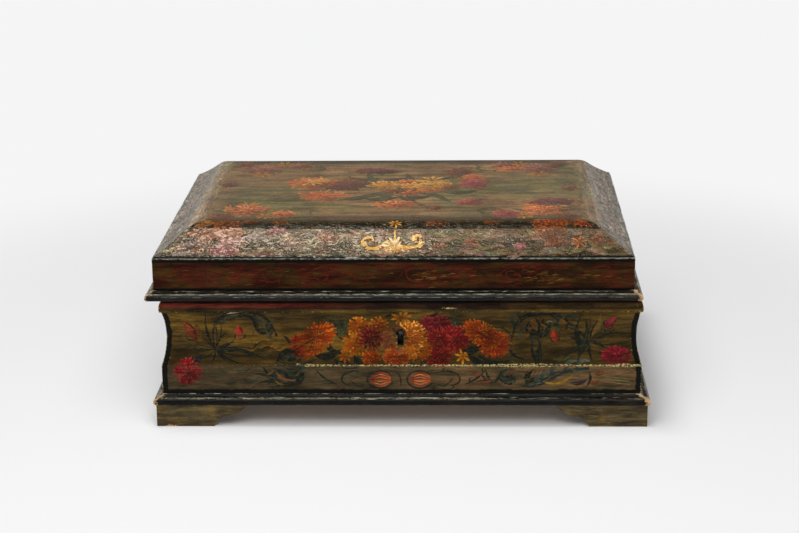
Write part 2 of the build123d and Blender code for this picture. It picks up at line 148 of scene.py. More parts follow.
# The sweep catches the casket's soft shadow, and further out it runs into the plain page.
sweep_radius, sweep_sides = 4.0, 64
ring = [math.tau * i / sweep_sides for i in range(sweep_sides)]
sweep_mesh = bpy.data.meshes.new("sweep")
sweep_mesh.from_pydata(
    [(sweep_radius * math.cos(a), sweep_radius * math.sin(a), -0.0002) for a in ring],
    [],
    [list(range(sweep_sides))],
)
sweep = bpy.data.objects.new("sweep", sweep_mesh)
bpy.context.scene.collection.objects.link(sweep)
card = bpy.data.materials.new("pale_card")
card.use_nodes = True
paper = card.node_tree
paper.nodes.clear()
place = put(paper, "ShaderNodeTexCoord").outputs["Object"]
away = put(paper, "ShaderNodeVectorMath", {0: place}, operation="LENGTH").outputs["Value"]
rays = put(paper, "ShaderNodeLightPath").outputs
far = times(paper, step(paper, away, 0.3, 0.75), rays["Is Camera Ray"])
lit = put(paper, "ShaderNodeBsdfDiffuse", {"Color": rgb(248, 248, 249)})
glow = times(paper, rays["Is Camera Ray"], 0.03)
glow = put(paper, "ShaderNodeEmission", {"Color": (1, 1, 1, 1), "Strength": glow})
lit = put(paper, "ShaderNodeAddShader", {0: lit.outputs[0], 1: glow.outputs[0]})
plain = put(paper, "ShaderNodeEmission", {"Color": page_white, "Strength": 1.0})
both = put(paper, "ShaderNodeMixShader", {0: far, 1: lit.outputs[0], 2: plain.outputs[0]})
put(paper, "ShaderNodeOutputMaterial", {"Surface": both.outputs[0]})
sweep_mesh.materials.append(card)


# The four bracket feet: sawn pine under olive-brown paint, brushed along the grain and rubbed through
# to pale gesso and bare wood at the edges and under the soles. Behind them are raw pine glue blocks.
body_middle = 1.6


def plus(tree, *values):
    return calc(tree, "ADD", *values)


def minus(tree, *values):
    return calc(tree, "SUBTRACT", *values)


def vectors(tree, operation, *values):
    made = put(tree, "ShaderNodeVectorMath", dict(enumerate(values)), operation=operation)
    return made.outputs[0]


def scaled(tree, value, share):
    made = put(tree, "ShaderNodeVectorMath", {0: value, "Scale": share}, operation="SCALE")
    return made.outputs[0]


def surface_place(tree, middle=body_middle):
    """Millimetres across, deep and up from the middle of the body or the lid, how far out a point is
    towards the nearest side, how far round the mitre it is (below 0 on the two long sides), and the
    place squeezed along each side, for streaks."""
    # Half the casket's length less half its depth, and how far out the flat boards reach whose grain
    # runs one way: the bottom board in the body, and above that height the panel in the lid.
    length_over_depth = 51.5
    lid_from, body_flat, lid_flat = 103.0, 118.6, 96.6
    squeezed_to = 0.15
    mm = scaled(tree, put(tree, "ShaderNodeTexCoord").outputs["Object"], 1 / MM)
    x, y, z = put(tree, "ShaderNodeSeparateXYZ", {0: mm}).outputs
    x = minus(tree, x, middle)
    across, deep = calc(tree, "ABSOLUTE", x), calc(tree, "ABSOLUTE", y)
    round_mitre = minus(tree, minus(tree, across, deep), length_over_depth)
    out = plus(tree, deep, calc(tree, "MAXIMUM", round_mitre, 0.0))
    in_body = calc(tree, "LESS_THAN", z, lid_from)
    flat_board = plus(tree, times(tree, in_body, body_flat - lid_flat), lid_flat)
    on_end = calc(tree, "GREATER_THAN", round_mitre, 0.0)
    on_end = times(tree, on_end, calc(tree, "GREATER_THAN", out, flat_board))
    squeeze = times(tree, on_end, 1.0 - squeezed_to)
    squeezed = {
        0: times(tree, x, plus(tree, squeeze, squeezed_to)),
        1: times(tree, y, minus(tree, 1.0, squeeze)),
        2: z,
    }
    streaky = put(tree, "ShaderNodeCombineXYZ", squeezed).outputs[0]
    flaky = vectors(tree, "ADD", mm, streaky)
    return SimpleNamespace(
        mm=mm, x=x, y=y, z=z, out=out, round_mitre=round_mitre, streaky=streaky, flaky=flaky
    )


def cloud(tree, place, size, detail=4.0, roughness=0.6, distortion=0.0):
    """Noise whose blots are about size mm across."""
    inputs = {
        "Vector": place,
        "Scale": 1.0 / size,
        "Detail": detail,
        "Roughness": roughness,
        "Distortion": distortion,
    }
    return put(tree, "ShaderNodeTexNoise", inputs).outputs[0]


def near(tree, value, level, reach):
    """1 at a level and 0 past its reach on either side."""
    off = calc(tree, "ABSOLUTE", minus(tree, value, level))
    return step(tree, off, 0.0, reach, 1.0, 0.0)


def crazed(tree, place, size, width):
    """The cracks of old varnish: 1 on a crack."""
    wander = put(tree, "ShaderNodeTexNoise", {"Vector": place, "Scale": 0.35 / size, "Detail": 3.0})
    bent = vectors(tree, "MULTIPLY_ADD", wander.outputs["Color"], (size * 2.2,) * 3, place)
    inputs = {"Vector": bent, "Scale": 1.0 / size}
    cells = put(tree, "ShaderNodeTexVoronoi", inputs, feature="DISTANCE_TO_EDGE")
    return step(tree, cells.outputs[0], 0.0, width, 1.0, 0.0)


def finish(
    name, colour_of, depth=0.0003, specular=0.3, rough=(0.3, 0.5), metal=0.0, shine=(1, 1, 1, 1)
):
    """A material. colour_of takes its tree and gives its colour, its relief and its dullness."""
    made = bpy.data.materials.new(name)
    made.use_nodes = True
    tree = made.node_tree
    tree.nodes.clear()
    colour, relief, dull = colour_of(tree)
    bump = put(tree, "ShaderNodeBump", {"Height": relief, "Strength": 1.0, "Distance": depth})
    skin = put(
        tree,
        "ShaderNodeBsdfPrincipled",
        {
            "Base Color": colour,
            "Roughness": step(tree, dull, 0.0, 1.0, *rough),
            "Specular IOR Level": specular,
            "Specular Tint": shine,
            "Metallic": metal,
            "Normal": bump.outputs[0],
        },
    )
    put(tree, "ShaderNodeOutputMaterial", {"Surface": skin.outputs[0]})
    return made


def aged(tree, at, colour, dirt=0.5, streaks=0.5, crack_size=5.0, crack_share=0.35, grain=1.0):
    """Brushed, browned and crazed: what a century or two does to any of these paints."""
    brushed = cloud(tree, at.streaky, 1.7, detail=5.0)
    browned = cloud(tree, at.mm, 28.0, detail=3.0)
    fine = cloud(tree, at.mm, 0.9, detail=2.0)
    cracks = crazed(tree, at.streaky, crack_size, 0.05)
    streaked = step(tree, brushed, 0.3, 0.7, 1.0 - streaks * 0.5, 1.0 + streaks * 0.4)
    dirty = step(tree, browned, 0.3, 0.7, 1.0 - dirt * 0.5, 1.0 + dirt * 0.35)
    speckled = step(tree, fine, 0.25, 0.75, 0.85, 1.15)
    shade = times(tree, times(tree, streaked, dirty), speckled)
    shade = times(tree, shade, minus(tree, 1.0, times(tree, cracks, crack_share)))
    ridges = cloud(tree, at.streaky, 2.4, detail=1.5, roughness=0.4)
    relief = plus(tree, times(tree, ridges, 0.5 * grain), times(tree, fine, 0.05 * grain))
    relief = minus(tree, relief, times(tree, cracks, 0.2 * grain))
    return scaled(tree, colour, shade), relief, brushed


def loss(tree, at, size, share, where=1.0):
    """Flakes lost from the paint: about that share of the surface where it is 1, none where it is 0."""
    flakes = cloud(tree, at.flaky, size, detail=6.0, roughness=0.7, distortion=0.3)
    level = plus(tree, flakes, times(tree, minus(tree, where, 1.0), 0.4))
    edge = 0.66 - 0.32 * share
    return step(tree, level, edge, edge + 0.025)


def most(tree, *values):
    """The greatest of several shares."""
    best = values[0]
    for value in values[1:]:
        best = calc(tree, "MAXIMUM", best, value)
    return best


def bared(tree, share, colour, relief, under, depth=0.5):
    """Paint gone down to what is under it, and the little step that it leaves."""
    sunk = minus(tree, relief, times(tree, share, depth))
    return mixed(tree, share, colour, under), sunk


def olive_foot(tree):
    at = surface_place(tree)
    worn = cloud(tree, at.streaky, 5.0, detail=5.0)
    colour = mixed(tree, step(tree, worn, 0.38, 0.62), rgb(64, 52, 30), rgb(98, 84, 52))
    ochre = times(tree, step(tree, cloud(tree, at.mm, 16.0), 0.52, 0.62), 0.6)
    colour = mixed(tree, ochre, colour, rgb(112, 84, 34))
    colour, relief, dull = aged(tree, at, colour, dirt=0.4, streaks=0.9)
    sole = step(tree, at.z, 0.0, 3.0, 1.0, 0.0)
    left_corner = times(tree, sole, near(tree, at.x, -180.0, 16.0))
    corner = near(tree, at.round_mitre, 0.0, 2.0)
    bare = loss(tree, at, 3.0, 0.9, left_corner)
    wood = mixed(tree, worn, rgb(172, 122, 74), rgb(206, 158, 108))
    colour, relief = bared(tree, bare, colour, relief, wood)
    edge = most(tree, times(tree, sole, 0.6), corner, near(tree, at.z, 17.5, 1.0), 0.35)
    colour, relief = bared(tree, loss(tree, at, 1.5, 0.3, edge), colour, relief, rgb(168, 168, 124))
    return colour, relief, dull


def dress(material, *names):
    """A finish for the CAD nodes whose names start in one of these ways."""
    for name, node in nodes.items():
        if name.startswith(names):
            for slot in node.material_slots:
                slot.material = material


olive_paint = finish("olive_foot_paint", olive_foot, specular=0.15)
dress(olive_paint, *[n for n in nodes if n.endswith("_bracket")])


def pine_colour(tree, at):
    rings = cloud(tree, at.streaky, 5.0, detail=6.0, distortion=1.0)
    return mixed(tree, step(tree, rings, 0.35, 0.65), rgb(142, 104, 64), rgb(180, 142, 94))


def raw_pine(tree):
    at = surface_place(tree)
    return aged(tree, at, pine_colour(tree, at), dirt=0.7, streaks=0.6, crack_share=0.0)


pine = finish("raw_pine", raw_pine, rough=(0.7, 0.85))
dress(pine, "bottom_board", *[n for n in nodes if n.endswith("_glue_block")])


# The base moulding: a scotia and a bead, painted black over gesso, with the paint rubbed off the bead
# and knocked off the corners down to pale gesso and bare wood. The pale lines along the bead are
# partly that rubbing and partly a painted highlight.
def black_moulding(middle, highlight_and_wear_lines, corner_reach, right_share=1.0):
    """The lines that it takes are the heights at which the profile stands out, how far each is rubbed,
    and how much: there the paint flakes, and a pale line is painted that is partly rubbed paint and
    partly a painted highlight. right_share is how much of that there is at the right end, and
    corner_reach is how far round the mitres the bare wood comes."""

    def colour_of(tree):
        at = surface_place(tree, middle)
        base = mixed(tree, cloud(tree, at.streaky, 9.0), rgb(5, 6, 5), rgb(19, 19, 15))
        brown = step(tree, cloud(tree, at.mm, 24.0), 0.5, 0.64)
        base = mixed(tree, times(tree, brown, 0.5), base, rgb(40, 30, 19))
        colour, relief, dull = aged(tree, at, base, dirt=0.3, streaks=0.6)
        rub = step(tree, cloud(tree, at.streaky, 1.6, detail=6.0, roughness=0.75), 0.5, 0.62)
        highlight_and_wear = 0.0
        for level, reach, share in highlight_and_wear_lines:
            line = times(tree, near(tree, at.z, level, reach), share)
            highlight_and_wear = most(tree, highlight_and_wear, line)
        highlight_and_wear = times(tree, highlight_and_wear, step(tree, at.x, 60.0, 120.0, 1.0, right_share))
        # The pale line: partly paint rubbed through, partly a painted highlight on the edges that stand
        # out.
        rubbed_highlight = times(tree, highlight_and_wear, rub)
        colour = mixed(tree, rubbed_highlight, colour, rgb(208, 202, 178))
        flecks = loss(tree, at, 1.3, 0.45, most(tree, highlight_and_wear, 0.6))
        gesso = mixed(tree, cloud(tree, at.mm, 4.0), rgb(176, 170, 124), rgb(222, 214, 176))
        colour, relief = bared(tree, flecks, colour, relief, gesso)
        to_right = step(tree, at.x, -60.0, 120.0, 0.72, 1.0)
        corner = times(tree, near(tree, at.round_mitre, 0.0, corner_reach), to_right)
        bare = loss(tree, at, 2.6, 1.0, corner)
        wood = mixed(tree, cloud(tree, at.mm, 3.0), rgb(150, 110, 72), rgb(222, 190, 144))
        colour, relief = bared(tree, bare, colour, relief, wood)
        return colour, relief, dull

    return colour_of


# The base moulding's pale lines: partly rubbed paint, partly painted highlight.
base_highlight_lines = ((25.3, 0.3, 1.0), (22.9, 0.5, 1.0), (17.8, 0.3, 0.6))
base_look = black_moulding(body_middle, base_highlight_lines, corner_reach=7.0, right_share=0.45)
base_black = finish("base_moulding_paint", base_look, specular=0.1, rough=(0.2, 0.4))
dress(base_black, "base_moulding")


# The four boards of the body under one painted scene: an olive-brown ground that turns ochre in
# places, black lines down the corners and along the foot, and a red-brown band under the lid, with
# the lid's shadow painted dark along the band's top and painted shade along its foot.
plinth_foot, arris, quirk_height, rim_foot = 25.5, 48.5, 92.4, 95.0
keyhole_height = 73.6


def body_ground(tree, at):
    streaks = step(tree, cloud(tree, at.streaky, 5.0, detail=6.0), 0.36, 0.64)
    patch = cloud(tree, at.streaky, 16.0, detail=4.0)
    olive = mixed(tree, streaks, rgb(42, 33, 12), rgb(80, 61, 26))
    ochre = mixed(tree, streaks, rgb(80, 59, 17), rgb(116, 88, 31))
    hollow = mixed(tree, step(tree, patch, 0.45, 0.63), olive, ochre)
    low_dark = step(tree, at.z, 49.0, 60.0, 0.55, 0.0)
    hollow = mixed(tree, low_dark, hollow, rgb(46, 36, 16))
    plinth_left = mixed(tree, streaks, rgb(56, 48, 30), rgb(80, 66, 44))
    plinth_right = mixed(tree, streaks, rgb(64, 58, 36), rgb(112, 84, 54))
    rim_red = mixed(tree, streaks, rgb(62, 21, 13), rgb(104, 44, 31))
    rim_brown = mixed(tree, streaks, rgb(26, 15, 9), rgb(56, 34, 22))
    rim_olive = mixed(tree, streaks, rgb(44, 32, 16), rgb(74, 55, 28))

    def to_right(first, last, ragged):
        """0 up to one place along the front and 1 from another, with a ragged edge."""
        return step(tree, plus(tree, at.x, times(tree, patch, ragged)), first, last)

    plinth = mixed(tree, to_right(-20.0, 120.0, 120.0), plinth_left, plinth_right)
    rim = mixed(tree, to_right(-10.0, 70.0, 160.0), rim_red, rim_brown)
    rim = mixed(tree, to_right(100.0, 130.0, 60.0), rim, rim_olive)
    ground = mixed(tree, step(tree, at.z, arris - 0.3, arris + 0.3), plinth, hollow)
    ground = mixed(tree, step(tree, at.z, rim_foot - 0.1, rim_foot + 0.7), ground, rim)
    wobble = times(tree, minus(tree, cloud(tree, at.mm, 6.0), 0.5), 3.0)
    corner = plus(tree, calc(tree, "ABSOLUTE", at.round_mitre), wobble)
    corner_band = times(tree, step(tree, corner, 3.8, 4.8, 1.0, 0.0), step(tree, at.z, 92.0, 90.0))
    foot_band = step(tree, plus(tree, at.z, wobble), 28.2, 29.6, 1.0, 0.0)
    # Painted shade: the foot of the rounded rim band is darkened, and so is its top, as the shadow that
    # the lid's overhang casts on it.
    painted_shade_under_rim = times(tree, near(tree, at.z, rim_foot, 1.4), 0.7)
    painted_lid_shadow_on_rim = times(tree, step(tree, at.z, 98.6, 100.2), 0.9)
    # The black lines of the corners and the foot, together with the painted shade and shadow on the rim
    # band.
    dark = most(tree, corner_band, foot_band, painted_shade_under_rim, painted_lid_shadow_on_rim)
    return mixed(tree, dark, ground, rgb(16, 16, 12))


def body_wear(tree, at, colour, relief):
    """Flakes off the arris, the corners, the quirk under the rim and the paint round the keyhole."""
    worst = most(
        tree, *[near(tree, at.x, *spot) for spot in ((96.0, 40.0), (-80.0, 26.0), (172.0, 14.0))]
    )
    reach = plus(tree, times(tree, worst, 1.5), 1.3)
    off_arris = calc(tree, "DIVIDE", minus(tree, at.z, arris + 0.1), reach)
    chipped = step(tree, cloud(tree, at.streaky, 14.0, detail=3.0), 0.42, 0.58, 0.6, 1.0)
    on_arris = times(tree, step(tree, calc(tree, "ABSOLUTE", off_arris), 0.35, 1.0, 1.0, 0.0), chipped)
    corner = times(tree, near(tree, at.round_mitre, 0.0, 2.0), 0.9)
    band_edge = times(tree, near(tree, calc(tree, "ABSOLUTE", at.round_mitre), 4.4, 1.6), 0.68)
    quirk = times(tree, near(tree, at.z, quirk_height, 1.1), 0.72)
    on_rim = times(tree, near(tree, at.z, 95.4, 1.8), near(tree, at.x, 38.0, 14.0))
    on_rim = times(tree, on_rim, 1.2)

    half_stem = 5.0
    off_x, off_z = calc(tree, "ABSOLUTE", at.x), minus(tree, at.z, keyhole_height)
    off_z = calc(tree, "ABSOLUTE", plus(tree, off_z, half_stem))
    off_z = calc(tree, "MAXIMUM", minus(tree, off_z, half_stem), 0.0)
    off_key = plus(tree, times(tree, off_x, off_x), times(tree, off_z, off_z))
    key_ring = step(tree, calc(tree, "SQRT", off_key), 3.8, 4.8, 1.0, 0.0)
    key_ring = times(tree, key_ring, step(tree, at.y, -120.0, -119.0, 1.0, 0.0))

    on_arris, key_ring = times(tree, on_arris, 0.95), times(tree, key_ring, 0.7)
    where = most(tree, on_rim, on_arris, corner, band_edge, quirk, key_ring, 0.42)
    gesso = mixed(tree, cloud(tree, at.mm, 4.0), rgb(158, 136, 70), rgb(230, 216, 156))
    return bared(tree, loss(tree, at, 2.0, 0.6, where), colour, relief, gesso)


def painted_body(tree):
    at = surface_place(tree)
    colour, relief, dull = aged(tree, at, body_ground(tree, at))
    colour, relief = body_wear(tree, at, colour, relief)
    inside = step(tree, at.out, 120.0, 121.0, 1.0, 0.0)
    return mixed(tree, inside, colour, pine_colour(tree, at)), relief, dull


dress(finish("painted_body_board", painted_body, specular=0.07), "body_board")


# The lid's frame: four upright boards, mitred together, under dark brown paint that is nearly black
# along both edges, with a pale broken line painted along the top edge as its highlight. A black
# moulding is planted round its foot.
lid_middle = -3.7


def fascia_ground(tree, at):
    streaks = step(tree, cloud(tree, at.streaky, 6.0, detail=5.0), 0.36, 0.64)
    red = step(tree, cloud(tree, at.mm, 22.0), 0.42, 0.58)
    brown = mixed(tree, streaks, rgb(36, 20, 4), rgb(64, 42, 14))
    reddish = mixed(tree, streaks, rgb(46, 14, 6), rgb(76, 30, 16))
    ground = mixed(tree, times(tree, red, 0.8), brown, reddish)
    edge = most(tree, step(tree, at.z, 130.8, 132.2), step(tree, at.z, 110.6, 111.8, 1.0, 0.0))
    return mixed(tree, edge, ground, rgb(14, 13, 9))


def fascia_wear_and_highlight(tree, at, colour, relief):
    corner = near(tree, at.round_mitre, 0.0, 1.6)
    # A pale broken line along the fascia's top edge: a painted highlight on the rounded edge, where the
    # paint also flakes off.
    worn_lip_highlight = times(tree, near(tree, at.z, 134.6, 0.9), 0.9)
    rub = step(tree, cloud(tree, at.flaky, 4.0, detail=6.0, roughness=0.75), 0.42, 0.58)
    colour = mixed(tree, times(tree, times(tree, worn_lip_highlight, rub), 0.8), colour, rgb(180, 176, 160))
    where = most(tree, corner, worn_lip_highlight, 0.4)
    return bared(tree, loss(tree, at, 1.4, 0.4, where), colour, relief, rgb(206, 190, 150))


def brown_fascia(tree):
    at = surface_place(tree, lid_middle)
    colour, relief, dull = aged(tree, at, fascia_ground(tree, at), dirt=0.4, streaks=0.6)
    colour, relief = fascia_wear_and_highlight(tree, at, colour, relief)
    inside = step(tree, at.out, 120.5, 121.5, 1.0, 0.0)
    return mixed(tree, inside, colour, pine_colour(tree, at)), relief, dull


dress(finish("brown_fascia_paint", brown_fascia, specular=0.05), "lid_fascia")
# The lid moulding's pale lines along its fillet and bead: partly rubbed paint, partly painted highlight.
lid_highlight_lines = ((109.1, 0.35, 0.8), (107.3, 0.5, 1.0), (105.6, 0.3, 0.4))
lid_look = black_moulding(lid_middle, lid_highlight_lines, corner_reach=6.0)
lid_black = finish("lid_moulding_paint", lid_look, specular=0.16, rough=(0.2, 0.4))
dress(lid_black, "lid_moulding")


# The cushion of the lid: sloping rails round a flat panel, olive green under a thick rippled varnish
# that has shrunk into fine dark cracks. A pale broken line is painted along the foot of the slopes
# as a highlight.
slope_foot, fascia_deep = 135.0, 133.5


def lid_ground(tree, at):
    streaks = step(tree, cloud(tree, at.streaky, 7.0, detail=6.0), 0.34, 0.66)
    green = step(tree, cloud(tree, at.mm, 60.0, detail=2.0), 0.42, 0.6)
    top_brown = mixed(tree, streaks, rgb(126, 93, 54), rgb(168, 132, 84))
    top_green = mixed(tree, streaks, rgb(100, 88, 47), rgb(143, 126, 75))
    top = mixed(tree, green, top_brown, top_green)
    patches = step(tree, cloud(tree, at.flaky, 26.0, detail=2.0), 0.4, 0.6)
    green_slope = mixed(tree, streaks, rgb(46, 42, 24), rgb(96, 86, 56))
    brown_slope = mixed(tree, streaks, rgb(72, 52, 34), rgb(124, 96, 66))
    slope = mixed(tree, patches, green_slope, brown_slope)
    shoulder = mixed(tree, streaks, rgb(26, 19, 6), rgb(50, 38, 16))
    on_end = step(tree, at.round_mitre, -2.0, 2.0)
    shoulder = mixed(tree, on_end, shoulder, top)
    ground = mixed(tree, step(tree, at.z, 151.2, 152.0), slope, shoulder)
    ground = mixed(tree, step(tree, at.z, 154.7, 155.45), ground, top)
    brow = step(tree, calc(tree, "ABSOLUTE", at.y), 74.0, 98.0, 0.0, 0.75)
    brow = times(tree, brow, step(tree, at.z, 153.0, 155.0))
    brow = times(tree, brow, minus(tree, 1.0, on_end))
    ground = mixed(tree, brow, ground, shoulder)
    foot = step(tree, at.z, 136.0, 137.0, 1.0, 0.0)
    return mixed(tree, foot, ground, rgb(12, 11, 8))


def lid_varnish_and_edge_highlight(tree, at, colour, relief):
    ripple = cloud(tree, at.flaky, 8.0, detail=2.0, roughness=0.5, distortion=0.8)
    combed = cloud(tree, at.streaky, 4.5, detail=1.0)
    swell = cloud(tree, at.mm, 16.0, detail=1.0)
    lines = cloud(tree, at.flaky, 10.0, detail=2.0, roughness=0.55, distortion=1.6)
    on_ends = step(tree, calc(tree, "ABSOLUTE", at.x), 90.0, 150.0, 0.55, 0.9)
    veins = times(tree, near(tree, lines, 0.5, 0.02), on_ends)
    colour = mixed(tree, veins, colour, rgb(24, 18, 12))
    grooves = times(tree, near(tree, lines, 0.5, 0.09), on_ends)
    combed = times(tree, combed, step(tree, at.round_mitre, -2.0, 2.0, 1.0, 2.5))
    for wave, height in ((ripple, 0.9), (combed, 0.4), (swell, 2.0), (grooves, -0.6)):
        relief = plus(tree, relief, times(tree, wave, height))
    relief = times(tree, relief, step(tree, at.round_mitre, -2.0, 2.0, 1.0, 1.45))
    rub = step(tree, cloud(tree, at.streaky, 3.0, detail=5.0), 0.44, 0.56)
    # A pale broken line at the foot of the slope: a painted highlight along the edge.
    worn_lip_highlight = times(tree, near(tree, at.z, slope_foot + 0.25, 0.4), rub)
    colour = mixed(tree, worn_lip_highlight, colour, rgb(206, 200, 186))
    hip = times(tree, near(tree, at.round_mitre, 0.0, 1.2), 0.7)
    where = most(tree, times(tree, near(tree, at.z, slope_foot, 0.8), 0.9), hip, 0.2)
    return bared(tree, loss(tree, at, 1.5, 0.5, where), colour, relief, rgb(190, 180, 144))


def painted_lid(tree):
    at = surface_place(tree, lid_middle)
    ground = lid_ground(tree, at)
    colour, relief, dull = aged(tree, at, ground, streaks=0.35, crack_size=3.5, grain=0.12)
    colour, relief = lid_varnish_and_edge_highlight(tree, at, colour, relief)
    slope_rise = times(tree, minus(tree, fascia_deep, at.out), 0.7)
    skin = calc(tree, "MINIMUM", plus(tree, slope_foot, slope_rise), 154.5)
    inside = step(tree, minus(tree, skin, at.z), 3.0, 3.5)
    return mixed(tree, inside, colour, pine_colour(tree, at)), relief, dull


amber = rgb(255, 236, 208)
varnish = dict(depth=0.0005, specular=0.5, rough=(0.12, 0.26), shine=amber)
lid_paint = finish("painted_lid", painted_lid, **varnish)
dress(lid_paint, "cushion_rail", "top_panel")


# The lock and the hinges: forged iron, blacked and then rusted where hands and air reach it. The
# screws of the hinges and the nails under the bottom board are of the same iron.
def old_iron(tree):
    at = surface_place(tree)
    rust = step(tree, cloud(tree, at.mm, 3.0, detail=6.0, roughness=0.7), 0.45, 0.65)
    colour = mixed(tree, rust, rgb(70, 68, 64), rgb(88, 56, 38))
    colour, relief, _ = aged(tree, at, colour, crack_share=0.0)
    return colour, relief, rust


iron = finish("old_iron", old_iron, specular=0.5, rough=(0.4, 0.75), metal=0.75)
dress(iron, "lock_", "link_plate", "left_hinge", "right_hinge", "hinge_screws", "bottom_nails")


# The painted flowers on the body, laid on with a pointed brush in oil colours over the dry ground.
# Every stroke is drawn flat, in mm along a board and up it, and then laid over the board's moulding.
def laying_tree():
    """Sweeps a thin slab of paint along each drawn line, and lays it over the outline of the board."""
    tree = bpy.data.node_groups.new("lay_brush_strokes", "GeometryNodeTree")
    ask = tree.interface.new_socket
    ask("Strokes", in_out="INPUT", socket_type="NodeSocketGeometry")
    ask("Outline of the board", in_out="INPUT", socket_type="NodeSocketObject")
    ask("Turn to the side", in_out="INPUT", socket_type="NodeSocketFloat")
    ask("Shift along the casket", in_out="INPUT", socket_type="NodeSocketFloat")
    ask("Paint", in_out="INPUT", socket_type="NodeSocketMaterial")
    ask("Painted", in_out="OUTPUT", socket_type="NodeSocketGeometry")
    strokes, outline, turn, shift, paint, _ = put(tree, "NodeGroupInput").outputs

    def add(kind, inputs=None, **settings):
        return put(tree, kind, inputs, **settings).outputs[0]

    def read(name):
        return add("GeometryNodeInputNamedAttribute", {"Name": name}, data_type="FLOAT")

    lines = add("GeometryNodeMeshToCurve", {"Mesh": strokes})
    lines = add("GeometryNodeCurveSplineType", {"Curve": lines}, spline_type="CATMULL_ROM")
    lines = add("GeometryNodeSetSplineResolution", {0: lines, "Resolution": 2})
    lines = add("GeometryNodeSetCurveNormal", {"Curve": lines}, mode="Z_UP")
    lines = add("GeometryNodeSetCurveRadius", {"Curve": lines, "Radius": read("half_width")})
    sizes = {"Height": 1.0, "Bottom Width": 1.5, "Top Width": 2.0, "Offset": 0.0}
    slab = put(tree, "GeometryNodeCurvePrimitiveQuadrilateral", mode="TRAPEZOID")
    for name, value in sizes.items():
        slab.inputs[name].default_value = value
    place = add("GeometryNodeInputPosition")
    on_slab = add("ShaderNodeSeparateXYZ", {0: place})
    across = {"Geometry": slab.outputs[0], "Name": "across", "Value": on_slab}
    slab = add("GeometryNodeStoreNamedAttribute", across)
    swept = add("GeometryNodeCurveToMesh", {0: lines, 1: slab, "Scale": read("half_width")})

    flat = put(tree, "ShaderNodeSeparateXYZ", {0: place}).outputs
    is_top = calc(tree, "GREATER_THAN", flat[2], 0.0)
    sunk = -0.03 * MM
    height = add("ShaderNodeMix", {0: is_top, 2: sunk, 3: read("lift")}, data_type="FLOAT")
    board = put(tree, "GeometryNodeObjectInfo", {"Object": outline}).outputs["Geometry"]
    board = add("GeometryNodeMeshToCurve", {"Mesh": board})
    on_board = put(
        tree, "GeometryNodeSampleCurve", {"Curves": board, "Length": flat[1]}, mode="LENGTH",
        use_all_curves=False
    ).outputs
    along = add("ShaderNodeCombineXYZ", {0: flat[0]})
    outwards = vectors(tree, "CROSS_PRODUCT", (1.0, 0.0, 0.0), on_board["Tangent"])
    raised = scaled(tree, outwards, height)
    spot = vectors(tree, "ADD", vectors(tree, "ADD", on_board["Position"], along), raised)
    spot = add("ShaderNodeVectorRotate", {"Vector": spot, "Angle": turn}, rotation_type="Z_AXIS")
    spot = vectors(tree, "ADD", spot, add("ShaderNodeCombineXYZ", {0: shift}))
    laid = add("GeometryNodeSetPosition", {"Geometry": swept, "Position": spot})
    laid = add("GeometryNodeSetShadeSmooth", {0: laid, "Shade Smooth": False})
    laid = add("GeometryNodeRealizeInstances", {0: laid})
    laid = add("GeometryNodeSetMaterial", {"Geometry": laid, "Material": paint})
    put(tree, "NodeGroupOutput", {0: laid})
    return tree


laying = laying_tree()


def lengths_along(outline):
    """How far along the outline each of its points is."""
    hops = [math.dist(a, b) for a, b in zip(outline, outline[1:])]
    return [0.0, *np.cumsum(hops)]


def arc_points(first, middle, last, count):
    """Points on the circle through three others."""
    (ax, ay), (bx, by), (cx, cy) = first, middle, last
    d = 2 * (ax * (by - cy) + bx * (cy - ay) + cx * (ay - by))
    a2, b2, c2 = ax * ax + ay * ay, bx * bx + by * by, cx * cx + cy * cy
    ox = (a2 * (by - cy) + b2 * (cy - ay) + c2 * (ay - by)) / d
    oy = (a2 * (cx - bx) + b2 * (ax - cx) + c2 * (bx - ax)) / d
    start = math.atan2(ay - oy, ax - ox)
    end = math.atan2(cy - oy, cx - ox)
    end += math.tau * round((start - end) / math.tau)
    reach = math.hypot(ax - ox, ay - oy)
    turns = [start + (end - start) * i / count for i in range(count + 1)]
    return [(ox + reach * math.cos(turn), oy + reach * math.sin(turn)) for turn in turns]


